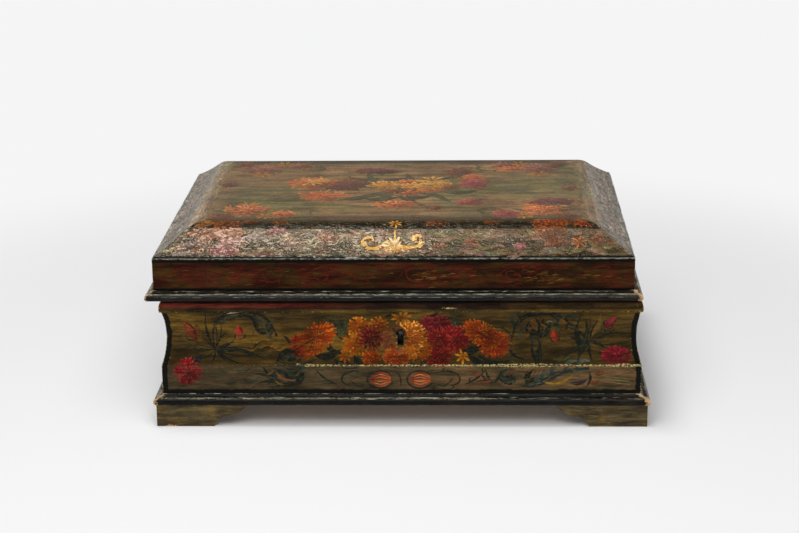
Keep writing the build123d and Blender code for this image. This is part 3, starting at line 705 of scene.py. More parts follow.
class Brush:
    """Collects strokes for one board, in mm along it and up it. flip, scale and shift place what is
    drawn. clear holds spots that stay bare, with their radius. half is half the length of the board,
    and taper how much shorter each half gets for every mm up. body is how well the paint covers."""

    cell = 1.5
    thickness, layer_step = 0.045, 0.0006
    thinnest = 0.08

    def __init__(self, seed):
        self.chance = np.random.default_rng(seed)
        self.points, self.edges, self.widths, self.tints, self.lifts = [], [], [], [], []
        self.painted = {}
        self.flip, self.shift, self.scale = 1, (0.0, 0.0), 1.0
        self.clear = []
        self.half, self.taper = 1000.0, 0.0
        self.body = 0.0

    def stroke(self, path, half, start, end=None, shape=(0.2, 0.95, 0.85, 0.15), shade=0.08):
        """A path of points, the half width, and the colours that the stroke starts and ends in. None is
        laid over a place that is kept clear, such as the keyhole, or past the mitred ends."""
        end = end or start
        path = np.array(path, float) * (self.flip * self.scale, self.scale) + self.shift
        ways = np.linspace(0, 1, len(path))
        steps = ways if len(path) > len(shape) else np.linspace(0, 1, len(shape))
        # Three points are bent to one bow, and more are joined as they are.
        if len(path) == 3 and len(steps) > 3:
            bent = [np.polyval(np.polyfit(ways, path[:, k], 2), steps) for k in (0, 1)]
        else:
            bent = [np.interp(steps, ways, path[:, k]) for k in (0, 1)]
        fat = half * self.scale * np.interp(steps, np.linspace(0, 1, len(shape)), shape)
        light = 1 + shade * self.chance.normal()
        for u, v, gap in self.clear:
            if any(math.hypot(a - u, b - v) < gap + f for a, b, f in zip(*bent, fat)):
                return
        if any(abs(a) + f > self.half - self.taper * b for a, b, f in zip(*bent, fat)):
            return
        lift = self.height_over(bent, fat)
        first = len(self.points)
        for i, way in enumerate(steps):
            self.points.append((bent[0][i], bent[1][i]))
            self.widths.append(max(fat[i], self.thinnest) * MM)
            tint = [max(0.0, light * (a + (b - a) * way)) for a, b in zip(start, end)]
            self.tints += [*tint[:3], self.body]
            self.lifts.append(lift * MM)
            if i:
                self.edges.append((first + i - 1, first + i))

    def height_over(self, bent, fat):
        """The height in mm of a stroke that lies on whatever has been painted there before. painted
        counts the layers on small square cells of the board."""
        length = math.dist((bent[0][0], bent[1][0]), (bent[0][-1], bent[1][-1]))
        ways = np.linspace(0, 1, max(2, int(length / self.cell) + len(fat)))
        on = [np.interp(ways, np.linspace(0, 1, len(fat)), track) for track in (*bent, fat)]

        def cells(low, high):
            return range(int(low // self.cell), int(high // self.cell) + 1)

        under = {
            (across, up)
            for u, v, half in zip(*on)
            for across in cells(u - half, u + half)
            for up in cells(v - half, v + half)
        }
        layer = 1 + max(self.painted.get(cell, 0) for cell in under)
        self.painted.update(dict.fromkeys(under, layer))
        return self.thickness + self.layer_step * layer

    def lay(self, name, outline, heights, turn, middle, paint, body, slot):
        """Lays the strokes over a board. heights gives the measure that runs up the outline."""
        far = lengths_along(outline)
        mesh = bpy.data.meshes.new(name)
        up = np.interp([v for _, v in self.points], heights, far)
        mesh.from_pydata([(u * MM, v * MM, 0) for (u, _), v in zip(self.points, up)], self.edges, [])
        for label, kind, values in (
            ("half_width", "FLOAT", self.widths),
            ("lift", "FLOAT", self.lifts),
            ("tint", "FLOAT_COLOR", self.tints),
        ):
            field = "color" if kind == "FLOAT_COLOR" else "value"
            layer = mesh.attributes.new(label, kind, "POINT").data
            layer.foreach_set(field, np.array(values, np.float32))
        lines = bpy.data.objects.new(name + "_lines", mesh)
        edge = bpy.data.meshes.new("outline")
        corners = [(0, -out * MM, z * MM) for out, z in outline]
        edge.from_pydata(corners, [(i, i + 1) for i in range(len(outline) - 1)], [])
        section = bpy.data.objects.new("outline", edge)
        for each in (lines, section):
            bpy.context.scene.collection.objects.link(each)
        sweep_up = lines.modifiers.new("lay", "NODES")
        sweep_up.node_group = laying
        sockets = {s.name: s.identifier for s in laying.interface.items_tree if s.in_out == "INPUT"}
        sweep_up[sockets["Outline of the board"]] = section
        sweep_up[sockets["Turn to the side"]] = math.radians(turn)
        sweep_up[sockets["Shift along the casket"]] = middle * MM
        sweep_up[sockets["Paint"]] = paint
        seen = bpy.context.evaluated_depsgraph_get()
        seen.update()
        painted = bpy.data.meshes.new_from_object(lines.evaluated_get(seen))
        piece = bpy.data.objects.new(name, painted)
        bpy.context.scene.collection.objects.link(piece)
        for each in (lines, section):
            bpy.data.objects.remove(each)
        if not painted.materials:
            painted.materials.append(paint)
        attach(piece, body)
        return piece


def bloom(
    brush, u, v, reach, deep, mid, light, petals=9, rings=4, squash=1.0, turn=0.0, spread=math.tau,
    sun=2.2, ragged=0.035, fine=2.6
):
    """A full flower: a dark bed of broad petals, then ring over ring of short dabs that run outwards. A
    spread under a whole turn makes it a fan seen from the side. sun is where its light comes from, and
    fine is how many dabs there are to a millimetre of ring."""
    chance = brush.chance
    turn_cos, turn_sin = math.cos(turn), math.sin(turn)

    def at(angle, far):
        x, y = reach * far * math.cos(angle), reach * far * math.sin(angle) * squash
        return (u + x * turn_cos - y * turn_sin, v + x * turn_sin + y * turn_cos)

    def lit(colour, angle, far=1.0):
        return tuple(c * (1 + 0.42 * far * math.cos(angle + turn - sun)) for c in colour)

    share = spread / math.tau
    count = max(4, round(petals * share))
    for k in range(count):
        angle = spread * ((k + 0.5) / count - 0.5) + chance.normal() * 0.07
        tip = 0.93 + chance.normal() * (ragged + 0.015)
        path = [at(angle, 0.05), at(angle + chance.normal() * 0.1, 0.55), at(angle, tip)]
        brush.stroke(
            path, reach * 2.1 / petals, lit(deep, angle, 0.5), lit(mid, angle), (0.4, 0.9, 1.0, 0.6)
        )
    for ring in range(rings):
        far = 1.04 - 0.68 * ring / max(1, rings - 1)
        count = max(5, round(reach * far * share * fine))
        for k in range(count):
            even = (k + 0.5 * (ring % 2) + 0.25) / count - 0.5
            angle = spread * even + chance.normal() * 0.05
            tip = far + chance.normal() * ragged
            lean = chance.normal() * 0.06
            glow = lit(light if chance.random() < 0.72 else mid, angle, 0.4 + far * 0.6)
            path = [at(angle + lean, tip - 0.27), at(angle + lean * 0.5, tip - 0.12), at(angle, tip)]
            brush.stroke(path, 1.61 / fine, lit(mid, angle), glow, (0.35, 0.8, 1.0), shade=0.14)


def star(brush, u, v, reach, rays, inner, outer, half=1.1, squash=1.0):
    """A small open flower of pointed petals."""
    for k in range(rays):
        angle = math.tau * (k + 0.3) / rays + brush.chance.normal() * 0.1
        way = (math.cos(angle), math.sin(angle) * squash)
        path = [(u + way[0] * reach * f, v + way[1] * reach * f) for f in (0.12, 0.55, 1.0)]
        brush.stroke(path, half, inner, outer, (0.3, 0.8, 1.0, 0.35))


def beside(base, tip, along, off):
    """A point beside the line from base to tip. Both measures are shares of its length."""
    du, dv = tip[0] - base[0], tip[1] - base[1]
    return (base[0] + du * along + dv * off, base[1] + dv * along - du * off)


def bud(brush, base, tip, half, deep, light, green):
    """A closed flower: three petals from base to tip, held in two sepals."""
    for way, end in ((-1, light), (1, deep), (0, light)):
        brush.stroke(
            [base, beside(base, tip, 0.5, 0.17 * way), tip], half, deep, end, (0.4, 1.0, 0.9, 0.2)
        )
    for way in (-1, 1):
        sepal = [base, beside(base, tip, 0.2, 0.323 * way), beside(base, tip, 0.5, 0.221 * way)]
        brush.stroke(sepal, half * 0.45, green)


def leaf(brush, base, tip, half, dark, light, bow=0.15):
    """A pointed leaf, with a light midrib where it is wide enough for one."""
    path = [base, beside(base, tip, 0.5, bow), tip]
    brush.stroke(path, half, dark, dark, (0.25, 1.0, 0.75, 0.08))
    if half > 0.9:
        brush.stroke(path, half * 0.22, light, dark, (0.5, 1.0, 0.6, 0.2))


def curl(brush, half, colours, *path, lobes=0, side=1):
    """A thick and thin scroll with a light line inside it, and small lobes of leaf along one side."""
    dark, light = colours
    ways = np.linspace(0, 1, len(path))
    fine = np.linspace(0, 1, 3 * len(path) - 2)
    u = np.interp(fine, ways, [p[0] for p in path])
    v = np.interp(fine, ways, [p[1] for p in path])
    for _ in range(2):
        u[1:-1] = (u[:-2] + 2 * u[1:-1] + u[2:]) / 4
        v[1:-1] = (v[:-2] + 2 * v[1:-1] + v[2:]) / 4
    spine = list(zip(u, v))
    brush.stroke(spine, half, dark, dark, (0.2, 0.7, 1.0, 0.9, 0.6, 0.5))
    inner = [(p + 0.3 * half, q + 0.3 * half) for p, q in spine[1:-1]]
    brush.stroke(inner, half * 0.28, light, dark, (0.2, 1.0, 0.7, 0.2))
    size = half * 3.2
    for k in range(lobes):
        i = int(len(spine) * (0.2 + 0.65 * k / max(1, lobes - 1)))
        (p, q), (before, after) = spine[i], (spine[i - 1], spine[i + 1])
        du, dv = after[0] - before[0], after[1] - before[1]
        far = (math.hypot(du, dv) or 1.0) / size
        du, dv = du / far, dv / far
        lobe = [
            (p + du * a - dv * side * b, q + dv * a + du * side * b)
            for a, b in ((0, 0), (0.5, 0.7), (1.3, 0.6))
        ]
        brush.stroke(lobe, half * 0.8, dark, light, (0.5, 1.0, 0.8, 0.2))


def spiral(u, v, reach, inner, turns, squash=1.0, way=1, count=12):
    """The points of a scroll that winds from its reach in to a smaller one, between two turns."""
    rounds = zip(np.linspace(reach, inner, count), np.linspace(*turns, count))
    return [(u + way * r * math.cos(a), v + squash * r * math.sin(a)) for r, a in rounds]


def leaves(brush, hub, colours, *tips):
    """Leaves that spring from one place. Each tip brings its own half width."""
    for k, (u, v, half) in enumerate(tips):
        leaf(brush, hub, (u, v), half, *colours, bow=0.1 if k % 2 else -0.1)


# Oil colours, each from its shadow to its light.
CRIMSON = rgb(66, 4, 10), rgb(114, 12, 22), rgb(160, 42, 46)
ORANGE = rgb(88, 18, 2), rgb(132, 48, 4), rgb(184, 96, 14)
YELLOW = rgb(114, 44, 2), rgb(150, 78, 6), rgb(196, 126, 26)
MAROON = rgb(42, 8, 10), rgb(84, 14, 20), rgb(128, 40, 44)
RUST = rgb(84, 24, 8), rgb(138, 50, 14), rgb(182, 88, 30)
LEAF = rgb(17, 24, 20), rgb(60, 70, 54)
OLIVE = rgb(40, 40, 18), rgb(76, 74, 38)
OCHRE = rgb(100, 68, 24), rgb(140, 104, 44)


# The front board: a bouquet round the keyhole, and at each end a spray of dark leaves and scrolls
# with red buds over a crimson flower.
def left_spray(brush):
    """The spray at the left end, from its hub out."""
    leaf(brush, (-156, 66), (-160, 84), 2.6, rgb(88, 56, 22), rgb(104, 72, 32), bow=0.05)
    leaf(brush, (-128, 64), (-116, 80), 3.4, rgb(92, 68, 24), rgb(108, 82, 34), bow=-0.1)
    leaves(
        brush, (-144.4, 60.6), LEAF, (-150.5, 92, 1.2), (-147, 90, 0.6), (-141, 91, 0.7),
        (-176, 78, 0.4), (-170, 66, 0.7), (-171, 62, 0.5), (-172, 70, 0.4), (-163, 74, 0.5),
        (-158, 53, 0.7), (-140, 86, 0.6), (-133, 76, 0.9), (-128, 70, 0.9), (-124, 66, 0.5),
        (-122, 62, 0.8), (-102, 51, 1.2), (-108, 58, 0.7), (-96, 54, 0.6), (-130, 50, 0.8),
        (-112, 54, 1.6), (-118, 49.5, 0.9), (-148, 50, 0.8), (-152, 68, 0.5), (-136, 53, 0.9)
    )
    leaves(
        brush, (-116, 60), OLIVE, (-104, 68, 0.9), (-98, 63, 1.2), (-106, 56, 1.1), (-113, 67, 0.7),
        (-101, 58, 0.7)
    )
    curl(
        brush, 2.0, LEAF, (-145.5, 62), (-146, 76), (-141, 86), (-132, 91.5), (-121.8, 93),
        (-108.8, 90.7), (-101, 83.4), (-98, 76), (-95.8, 70.7), lobes=6, side=-1
    )
    curl(
        brush, 2.1, LEAF, (-132, 85), (-126, 88), (-117, 89), (-112.3, 84.4), (-112, 78),
        (-108.8, 73.5), (-102, 74), (-100, 80), lobes=4
    )
    brush.stroke(
        [(-134, 90.3), (-128, 91.6), (-122, 91.8)], 0.8, rgb(170, 158, 130), rgb(196, 180, 150)
    )
    curl(
        brush, 2.6, LEAF, (-97, 50), (-93.5, 56), (-88.5, 60.5), (-81, 58.5), (-77, 55), lobes=3,
        side=-1
    )
    for base, tip in (
        ((-104, 62), (-97, 67)), ((-111, 70), (-117, 64)), ((-96, 60), (-88, 65)),
        ((-120, 60), (-112, 62))
    ):
        leaf(brush, base, tip, 1.3, *OCHRE)
    brush.stroke([(-108, 61), (-102, 62.4), (-98, 60)], 1.2, MAROON[0])
    leaf(brush, (-161, 51), (-154, 56), 3.0, rgb(24, 28, 36), LEAF[1], bow=0.0)
    bud(brush, (-159, 68.5), (-167.7, 83.5), 1.2, rgb(74, 14, 14), rgb(134, 44, 38), LEAF[0])
    bud(brush, (-124.4, 68.5), (-126, 80), 1.8, rgb(110, 12, 26), rgb(156, 50, 34), LEAF[0])
    bloom(brush, -166, 43.5, 11.2, *CRIMSON, rings=5, squash=0.95)
    curl(
        brush, 2.8, LEAF, (-107, 47), (-103, 40), (-96, 34.5), (-86, 32.5), (-77, 36), (-76, 43),
        (-82, 46), lobes=6
    )
    curl(brush, 1.7, LEAF, (-100, 46), (-92, 44), (-87, 39), (-90, 35), lobes=3, side=-1)
    leaves(brush, (-92, 33), LEAF, (-104, 31, 1.4), (-112, 34, 1.6), (-84, 31, 1.2), (-116, 42, 1.8))
    for base, tip in (((-98, 36), (-90, 33)), ((-82, 40), (-79, 45)), ((-104, 41), (-99, 46))):
        leaf(brush, base, tip, 1.0, *OCHRE)
    curl(brush, 1.0, LEAF, (-104, 33), (-98, 38), (-94, 45), lobes=2)
    brush.stroke(
        [(-97, 43), (-91, 37.2), (-82, 36.2)], 1.7, rgb(104, 64, 36), rgb(132, 84, 50),
        (0.3, 1.0, 0.9, 0.15)
    )
    for u, v in ((-146, 42), (-138, 34), (-128, 44), (-122, 36)):
        leaf(brush, (u, v), (u + 12, v + 3), 1.6, rgb(44, 48, 34), rgb(70, 72, 52))


def right_spray(brush):
    """The spray at the right end."""
    leaf(brush, (97, 70), (104, 88), 2.8, rgb(92, 60, 26), rgb(110, 76, 36), bow=0.1)
    leaf(brush, (148, 72), (154, 90), 2.4, rgb(92, 68, 28), rgb(108, 84, 38), bow=0.1)
    curl(brush, 0.8, LEAF, (72, 78), (78, 79), (83, 75), (86.5, 70.6))
    curl(
        brush, 2.6, LEAF, (86.7, 70.6), (88.8, 79.3), (95, 88.1), (108.4, 91.3), (120.9, 89.6),
        (129.2, 84.7), (128, 77), lobes=7
    )
    curl(brush, 1.5, LEAF, (86.7, 71), (84, 62), (88, 55), (96, 53), lobes=3, side=-1)
    curl(brush, 1.8, LEAF, (114, 90), (122, 85.5), (120, 80), (112, 80), lobes=3)
    curl(brush, 2.2, LEAF, (99, 83), (97, 76), (103, 72), (108, 76), (113, 83), lobes=4, side=-1)
    for u, v in ((101, 85), (108, 83), (124, 86)):
        leaf(brush, (u, v), (u + 6, v - 4), 1.6, *OCHRE)
    leaves(
        brush, (109, 70), LEAF, (99, 83, 1.6), (103, 88, 1.4), (111, 86, 2.9), (116, 83.5, 2.4),
        (104, 77, 1.2)
    )
    brush.stroke([(112, 82.3), (115, 83.6), (118, 83)], 0.9, rgb(110, 104, 70), rgb(130, 122, 84))
    leaves(
        brush, (106, 49.5), LEAF, (102, 68, 1.5), (106.5, 69, 1.6), (110, 68, 1.3), (99, 62, 0.7),
        (114, 60, 0.7)
    )
    leaves(
        brush, (146.4, 66.8), LEAF, (154, 86, 0.9), (169, 81.6, 0.5), (178, 73, 0.7), (178.5, 68, 0.5),
        (158.5, 61.5, 2.0), (149, 51, 1.4), (160, 76, 0.5), (137, 51, 2.0), (118.6, 56, 0.8),
        (124, 51, 1.0), (130, 72, 1.6), (127, 79, 1.4)
    )
    leaves(
        brush, (139.5, 60), LEAF, (137.5, 85, 2.2), (143, 86, 1.8), (148, 80, 1.0), (133, 80, 0.8),
        (140, 92, 0.8), (146, 90, 0.6)
    )
    leaf(brush, (156, 74.5), (157.5, 78.5), 2.6, rgb(40, 50, 30), rgb(80, 90, 50), bow=0.0)
    leaf(brush, (118, 54), (132, 56), 1.8, rgb(66, 66, 30), rgb(92, 90, 46))
    bud(brush, (120, 66.5), (118.5, 76.5), 1.4, rgb(112, 26, 14), rgb(156, 54, 30), LEAF[0])
    bud(brush, (158, 78.5), (166.5, 87), 1.5, rgb(92, 12, 24), rgb(142, 44, 58), LEAF[0])
    bloom(brush, 167, 56, 11.5, rgb(66, 6, 18), rgb(108, 14, 30), rgb(146, 36, 50), squash=0.62)
    scroll = spiral(84, 38.5, 9.0, 1.5, (0.9, 9.6), squash=0.85, count=16)
    curl(brush, 2.1, LEAF, *scroll, lobes=6)
    brush.stroke([(76, 38), (79, 33.4), (86, 31.6)], 1.1, rgb(96, 64, 40), rgb(116, 80, 52))
    leaves(
        brush, (97, 34), LEAF, (104, 46, 1.8), (112, 45, 1.5), (110, 38, 1.6), (104, 31, 1.0),
        (99, 45, 1.1)
    )
    for u in (101, 104, 107, 110):
        brush.stroke([(u, 40), (u + 1.6, 43), (u + 2.4, 44.6)], 0.5, OCHRE[1])
    leaf(brush, (108, 37), (122, 42), 3.0, rgb(84, 52, 28), rgb(104, 70, 36))
    curl(
        brush, 2.7, (rgb(30, 40, 38), rgb(84, 96, 80)), (94, 31.5), (104, 32), (112, 35.5), (120, 41),
        (131, 45), (146, 46), lobes=5
    )
    leaves(brush, (72, 34), LEAF, (62, 42, 1.6), (58, 35, 1.4), (66, 46, 1.2), (78, 45, 1.2))
    leaf(brush, (112, 34.5), (134, 41), 2.5, rgb(126, 94, 32), rgb(176, 142, 64))
    leaf(brush, (131, 34.5), (146, 38.5), 2.3, rgb(40, 30, 32), rgb(66, 52, 52))
    for u, v, size in ((66, 36, 5), (60, 42, 4), (86, 44, 4), (150, 36, 5), (154, 43, 4)):
        leaf(brush, (u - size, v - 1), (u + size, v + 1), 2.0, rgb(96, 52, 30), rgb(112, 70, 40))
    brush.stroke([(146, 44), (147, 37), (144, 31)], 1.3, LEAF[0])
    for v in (34, 36.5, 38.5):
        brush.stroke(
            [(158, v + 1), (168, v), (178, v - 1.2)], 0.55, rgb(112, 98, 64), rgb(140, 126, 88)
        )


def bouquet(brush):
    """The bouquet round the keyhole, leaves first and the brightest flowers last."""
    for base, tip, half in (
        ((-96, 51), (-66, 53), 3.4), ((-88, 52), (-80, 60), 3.0), ((-66, 56), (-46, 61), 3.8),
        ((-52, 53), (-28, 50), 3.0), ((-36, 56), (-28, 50), 3.2), ((-58, 64), (-44, 58), 2.6),
        ((-10, 52), (-2, 47.5), 2.0), ((6, 52), (14, 47.5), 2.4), ((16, 52), (24, 49), 2.4),
        ((48, 60), (64, 65), 3.4), ((52, 58), (72, 50), 3.0), ((60, 56), (86, 53), 2.2),
        ((-86, 64), (-92, 72), 1.4), ((20, 88), (30, 92), 1.6), ((-12, 88), (-4, 92), 1.4)
    ):
        leaf(brush, base, tip, half, *LEAF)
    for base, tip in (
        ((-48, 70), (-54, 90)), ((-46, 72), (-44, 89)), ((-50, 74), (-62, 86)), ((42, 78), (38, 92)),
        ((46, 78), (58, 88)), ((50, 76), (64, 84))
    ):
        leaf(brush, base, tip, 2.2, rgb(46, 54, 36), rgb(84, 88, 58))
    curl(brush, 0.8, LEAF, (-50, 74), (-46, 68), (-40, 70))
    curl(brush, 1.0, LEAF, (-56, 66), (-52, 60), (-46, 56), (-40, 50))
    bloom(
        brush, -75, 63.5, 12, rgb(74, 10, 8), rgb(122, 26, 10), rgb(166, 66, 14), petals=10,
        squash=0.85, sun=0.6, fine=3.2
    )
    bloom(brush, -65, 70, 16.5, *ORANGE, petals=12, rings=5, squash=0.68, turn=0.62, sun=0.4, fine=3.0)
    brush.stroke(
        [(-80, 61.5), (-71, 67), (-60, 73.5)], 1.0, rgb(64, 16, 10), rgb(84, 26, 10),
        (0.3, 1.0, 0.8, 0.2)
    )
    for k in range(9):
        brush.stroke(
            [(-82 + k * 0.9, 66 - k * 1.4), (-79 + k * 0.8, 66.5 - k * 1.1)], 0.5, rgb(128, 28, 16),
            rgb(176, 62, 26)
        )
    bloom(
        brush, 27.4, 80, 12.5, rgb(52, 6, 12), rgb(92, 14, 22), rgb(138, 42, 46), petals=12, rings=5,
        squash=0.8, ragged=0.02, fine=2.0
    )
    bloom(
        brush, 29.5, 57, 11, rgb(60, 6, 10), rgb(104, 14, 14), rgb(146, 34, 26), petals=12, squash=0.9,
        ragged=0.02, fine=2.0
    )
    bloom(
        brush, 42, 69, 12, rgb(74, 6, 12), rgb(122, 14, 20), rgb(160, 42, 38), petals=12, rings=5,
        squash=0.95, ragged=0.02, fine=2.0
    )
    bloom(brush, 29, 69, 9, rgb(72, 8, 12), rgb(118, 18, 18), rgb(170, 62, 36), petals=8, fine=3.2)
    bloom(brush, -9, 68, 8, rgb(84, 36, 22), rgb(124, 60, 36), rgb(150, 86, 54), petals=8, rings=2)
    bloom(brush, -32.2, 79.2, 8.8, *YELLOW, petals=6, rings=3, squash=0.95, ragged=0.01, fine=1.7)
    bloom(brush, -16.7, 80, 7.6, *YELLOW, petals=6, rings=3, ragged=0.01, fine=1.7)
    bloom(brush, -36.9, 64.5, 8.6, *YELLOW, petals=6, rings=3, squash=1.1, ragged=0.01, fine=1.7)
    bloom(brush, -22.7, 54.5, 7.5, *ORANGE, petals=8, squash=0.85)
    bloom(brush, -2.8, 55.5, 11, *RUST, squash=0.62)
    bloom(brush, 14, 60.5, 10, *YELLOW[:2], ORANGE[2], petals=8, squash=0.85)
    for _ in range(190):
        angle, far = brush.chance.uniform(0, math.tau), brush.chance.uniform(5.2, 10.5)
        p, q = far * math.cos(angle), 69.5 + far * 1.15 * math.sin(angle)
        earth = (rgb(92, 50, 26), rgb(124, 76, 42)) if p < 0 else (rgb(120, 56, 18), rgb(156, 88, 34))
        brush.stroke([(p - 1.4, q - 0.4), (p, q + 0.3), (p + 1.4, q)], 0.9, *earth, shade=0.16)
    bloom(
        brush, 6, 70, 15, rgb(140, 58, 10), rgb(178, 96, 20), rgb(226, 154, 66), petals=15, rings=5,
        squash=0.95, turn=0.3, spread=3.6, fine=2.0
    )
    for u, v in ((8, 66), (15, 68), (12, 64), (16, 62)):
        brush.stroke([(u - 3, v), (u, v + 0.9), (u + 3, v + 0.4)], 0.8, ORANGE[1], rgb(244, 196, 96))
    bloom(
        brush, -23.5, 70, 10.2, rgb(42, 5, 8), rgb(82, 11, 12), rgb(136, 40, 34), petals=14, rings=5,
        ragged=0.01, fine=1.8
    )
    bloom(
        brush, 73, 65, 12.5, rgb(88, 18, 8), rgb(140, 42, 12), rgb(186, 86, 24), petals=10, squash=0.85,
        sun=2.6, fine=3.0
    )
    bloom(brush, 63, 73, 16, *ORANGE, petals=12, rings=5, squash=0.6, turn=-0.6, sun=2.8, fine=3.0)
    brush.stroke(
        [(54, 77), (64, 72), (75, 64)], 1.0, rgb(84, 26, 12), rgb(64, 16, 10), (0.3, 1.0, 0.8, 0.2)
    )
    star(brush, 48.4, 55.3, 6, 7, *YELLOW[1:])
    star(brush, -43.2, 55.4, 5.4, 7, *YELLOW[:2])
    star(brush, 1.0, 87, 8.2, 8, YELLOW[0], YELLOW[2], half=1.2, squash=0.8)


def plinth_buds(brush):
    """Two striped buds under the arris, each held in a green ring."""
    level = 37
    for u in (-16, 15):
        ring = [(u + 10.5 * math.cos(a), level + 7.6 * math.sin(a)) for a in np.linspace(0.4, 5.9, 10)]
        curl(brush, 1.0, LEAF, *ring)
        for rise in (-3.4, 3.4, -1.2, 1.2):
            brush.stroke(
                [(u - 8.2, level), (u, level + rise * 1.3), (u + 8.2, level + rise * 0.4)], 1.9,
                rgb(124, 44, 26), rgb(176, 88, 46), (0.3, 1.0, 0.9, 0.3)
            )
        brush.stroke([(u - 5, 40), (u, 42), (u + 6, 40)], 1.3, rgb(128, 30, 24), rgb(146, 46, 32))
        for rise in (-4.0, -1.9, 0.4, 2.7):
            brush.stroke(
                [(u - 7, 36.9), (u, level + rise * 1.2), (u + 7, level + rise * 0.4)], 0.4,
                rgb(92, 28, 20), rgb(110, 42, 26)
            )
            brush.stroke(
                [(u - 5, 37.5 + rise * 0.7), (u, 37.9 + rise * 1.2), (u + 5, 37.6 + rise * 0.7)], 0.4,
                rgb(204, 140, 76), rgb(220, 164, 98)
            )
        brush.stroke([(u - 9, 37.1), (u, 37.8), (u + 5, 37.1)], 0.6, LEAF[0])
    for way in (-1, 1):
        curl(
            brush, 1.0, LEAF, (way * 26, 42), (way * 36, 45), (way * 46, 41), (way * 46, 34),
            (way * 39, 32), lobes=2
        )
        curl(brush, 1.1, LEAF, (way * 50, 33), (way * 60, 38), (way * 66, 45), lobes=2)
        curl(brush, 0.8, LEAF, (way * 28, 33), (way * 34, 31), (way * 40, 37))
    curl(brush, 0.8, LEAF, (-5, 45), (0, 40), (0, 32))


def oil_paint(
    name, ground_of, wear_and_highlight_of, middle, cover=(0.45, 1.0), grain=1.0, ragged=0.5, streaks=0.5, **look
):
    """The paint of the strokes, worn and crazed with the ground that it lies on. cover is how much
    hides the ground where the paint is thinnest and where it is thickest, and ragged is how far the
    ground shows through the edges of a stroke."""

    def colour_of(tree):
        at = surface_place(tree, middle)
        laid_on = put(tree, "ShaderNodeAttribute", attribute_name="tint")
        across = put(tree, "ShaderNodeAttribute", attribute_name="across").outputs["Fac"]
        inwards = minus(tree, 1.0, calc(tree, "ABSOLUTE", across))
        hairs = cloud(tree, at.mm, 0.7, detail=4.0, roughness=0.65)
        body = plus(tree, hairs, times(tree, inwards, 0.8))
        thin = step(tree, cloud(tree, at.flaky, 4.0, detail=5.0, roughness=0.7), 0.36, 0.54, *cover)
        thin = calc(tree, "MAXIMUM", thin, laid_on.outputs["Alpha"])
        share = times(tree, step(tree, body, ragged, ragged + 0.22), thin)
        laid = mixed(tree, share, ground_of(tree, at), laid_on.outputs["Color"])
        colour, relief, dull = aged(tree, at, laid, streaks=streaks, grain=grain)
        colour, relief = wear_and_highlight_of(tree, at, colour, relief)
        return colour, relief, dull

    return finish(name, colour_of, **look)


body_flowers = oil_paint("body_flower_paint", body_ground, body_wear, body_middle, specular=0.07)
body_half, body_deep = 186.5, 135.0
cavetto = arc_points((0, arris), (-4.3, 69.38), (-1.4, 92.0), 12)
body_outline = [(body_deep, plinth_foot), (body_deep, arris)]
body_outline += [(body_deep + out, z) for out, z in cavetto[1:]]


def lay_on_body(brush, name, outline, turn):
    heights = [z for _, z in outline]
    brush.lay(name, outline, heights, turn, body_middle, body_flowers, "base", "olive_lacquer")


front = Brush(4)
front.clear = [(0, keyhole_height, 3.6), (0, 69, 2.8), (0, 65.5, 2.8)]
left_spray(front)
right_spray(front)
plinth_buds(front)
bouquet(front)
lay_on_body(front, "front_flowers", body_outline, 0)


# The two ends and the back, in the same oil colours: the left spray of the front again, turned to
# both hands, and smaller bouquets between.
def posy(brush, u, v, scale=1.0):
    """A small bouquet: a crimson flower between yellow and orange ones."""
    brush.shift, brush.scale = (u, v), scale
    leaves(
        brush, (0, -4), LEAF, (-26, -12, 3.0), (-22, 14, 2.4), (26, -12, 3.0), (22, 14, 2.4),
        (-32, 0, 2.2), (32, 0, 2.2), (0, 20, 2.0)
    )
    bloom(brush, -18, 3, 10, *ORANGE)
    bloom(brush, 18, 3, 10, *ORANGE)
    bloom(brush, -9, -9, 8, *YELLOW, petals=8)
    bloom(brush, 10, -9, 8, *RUST, petals=8)
    bloom(brush, 0, 3, 12, *CRIMSON, petals=10, rings=5)
    star(brush, 0, 19, 6, 8, *YELLOW[1:])
    star(brush, -28, -10, 4.5, 7, *YELLOW[:2])
    brush.shift, brush.scale = (0.0, 0.0), 1.0


end_outline = [(out + body_half - body_deep, z) for out, z in body_outline]
for seed, turn, name in ((5, 90, "right"), (6, 270, "left")):
    end = Brush(seed)
    for flip in (1, -1):
        end.flip, end.shift, end.scale = flip, (20 * flip, 12), 0.8
        left_spray(end)
    end.flip = 1
    posy(end, 0, 70)
    lay_on_body(end, name + "_end_flowers", end_outline, turn)

back = Brush(7)
for flip in (1, -1):
    back.flip = flip
    left_spray(back)
back.flip = 1
for u in (-42, 42):
    posy(back, u, 70)
posy(back, 0, 68, 1.1)
lay_on_body(back, "back_flowers", body_outline, 180)


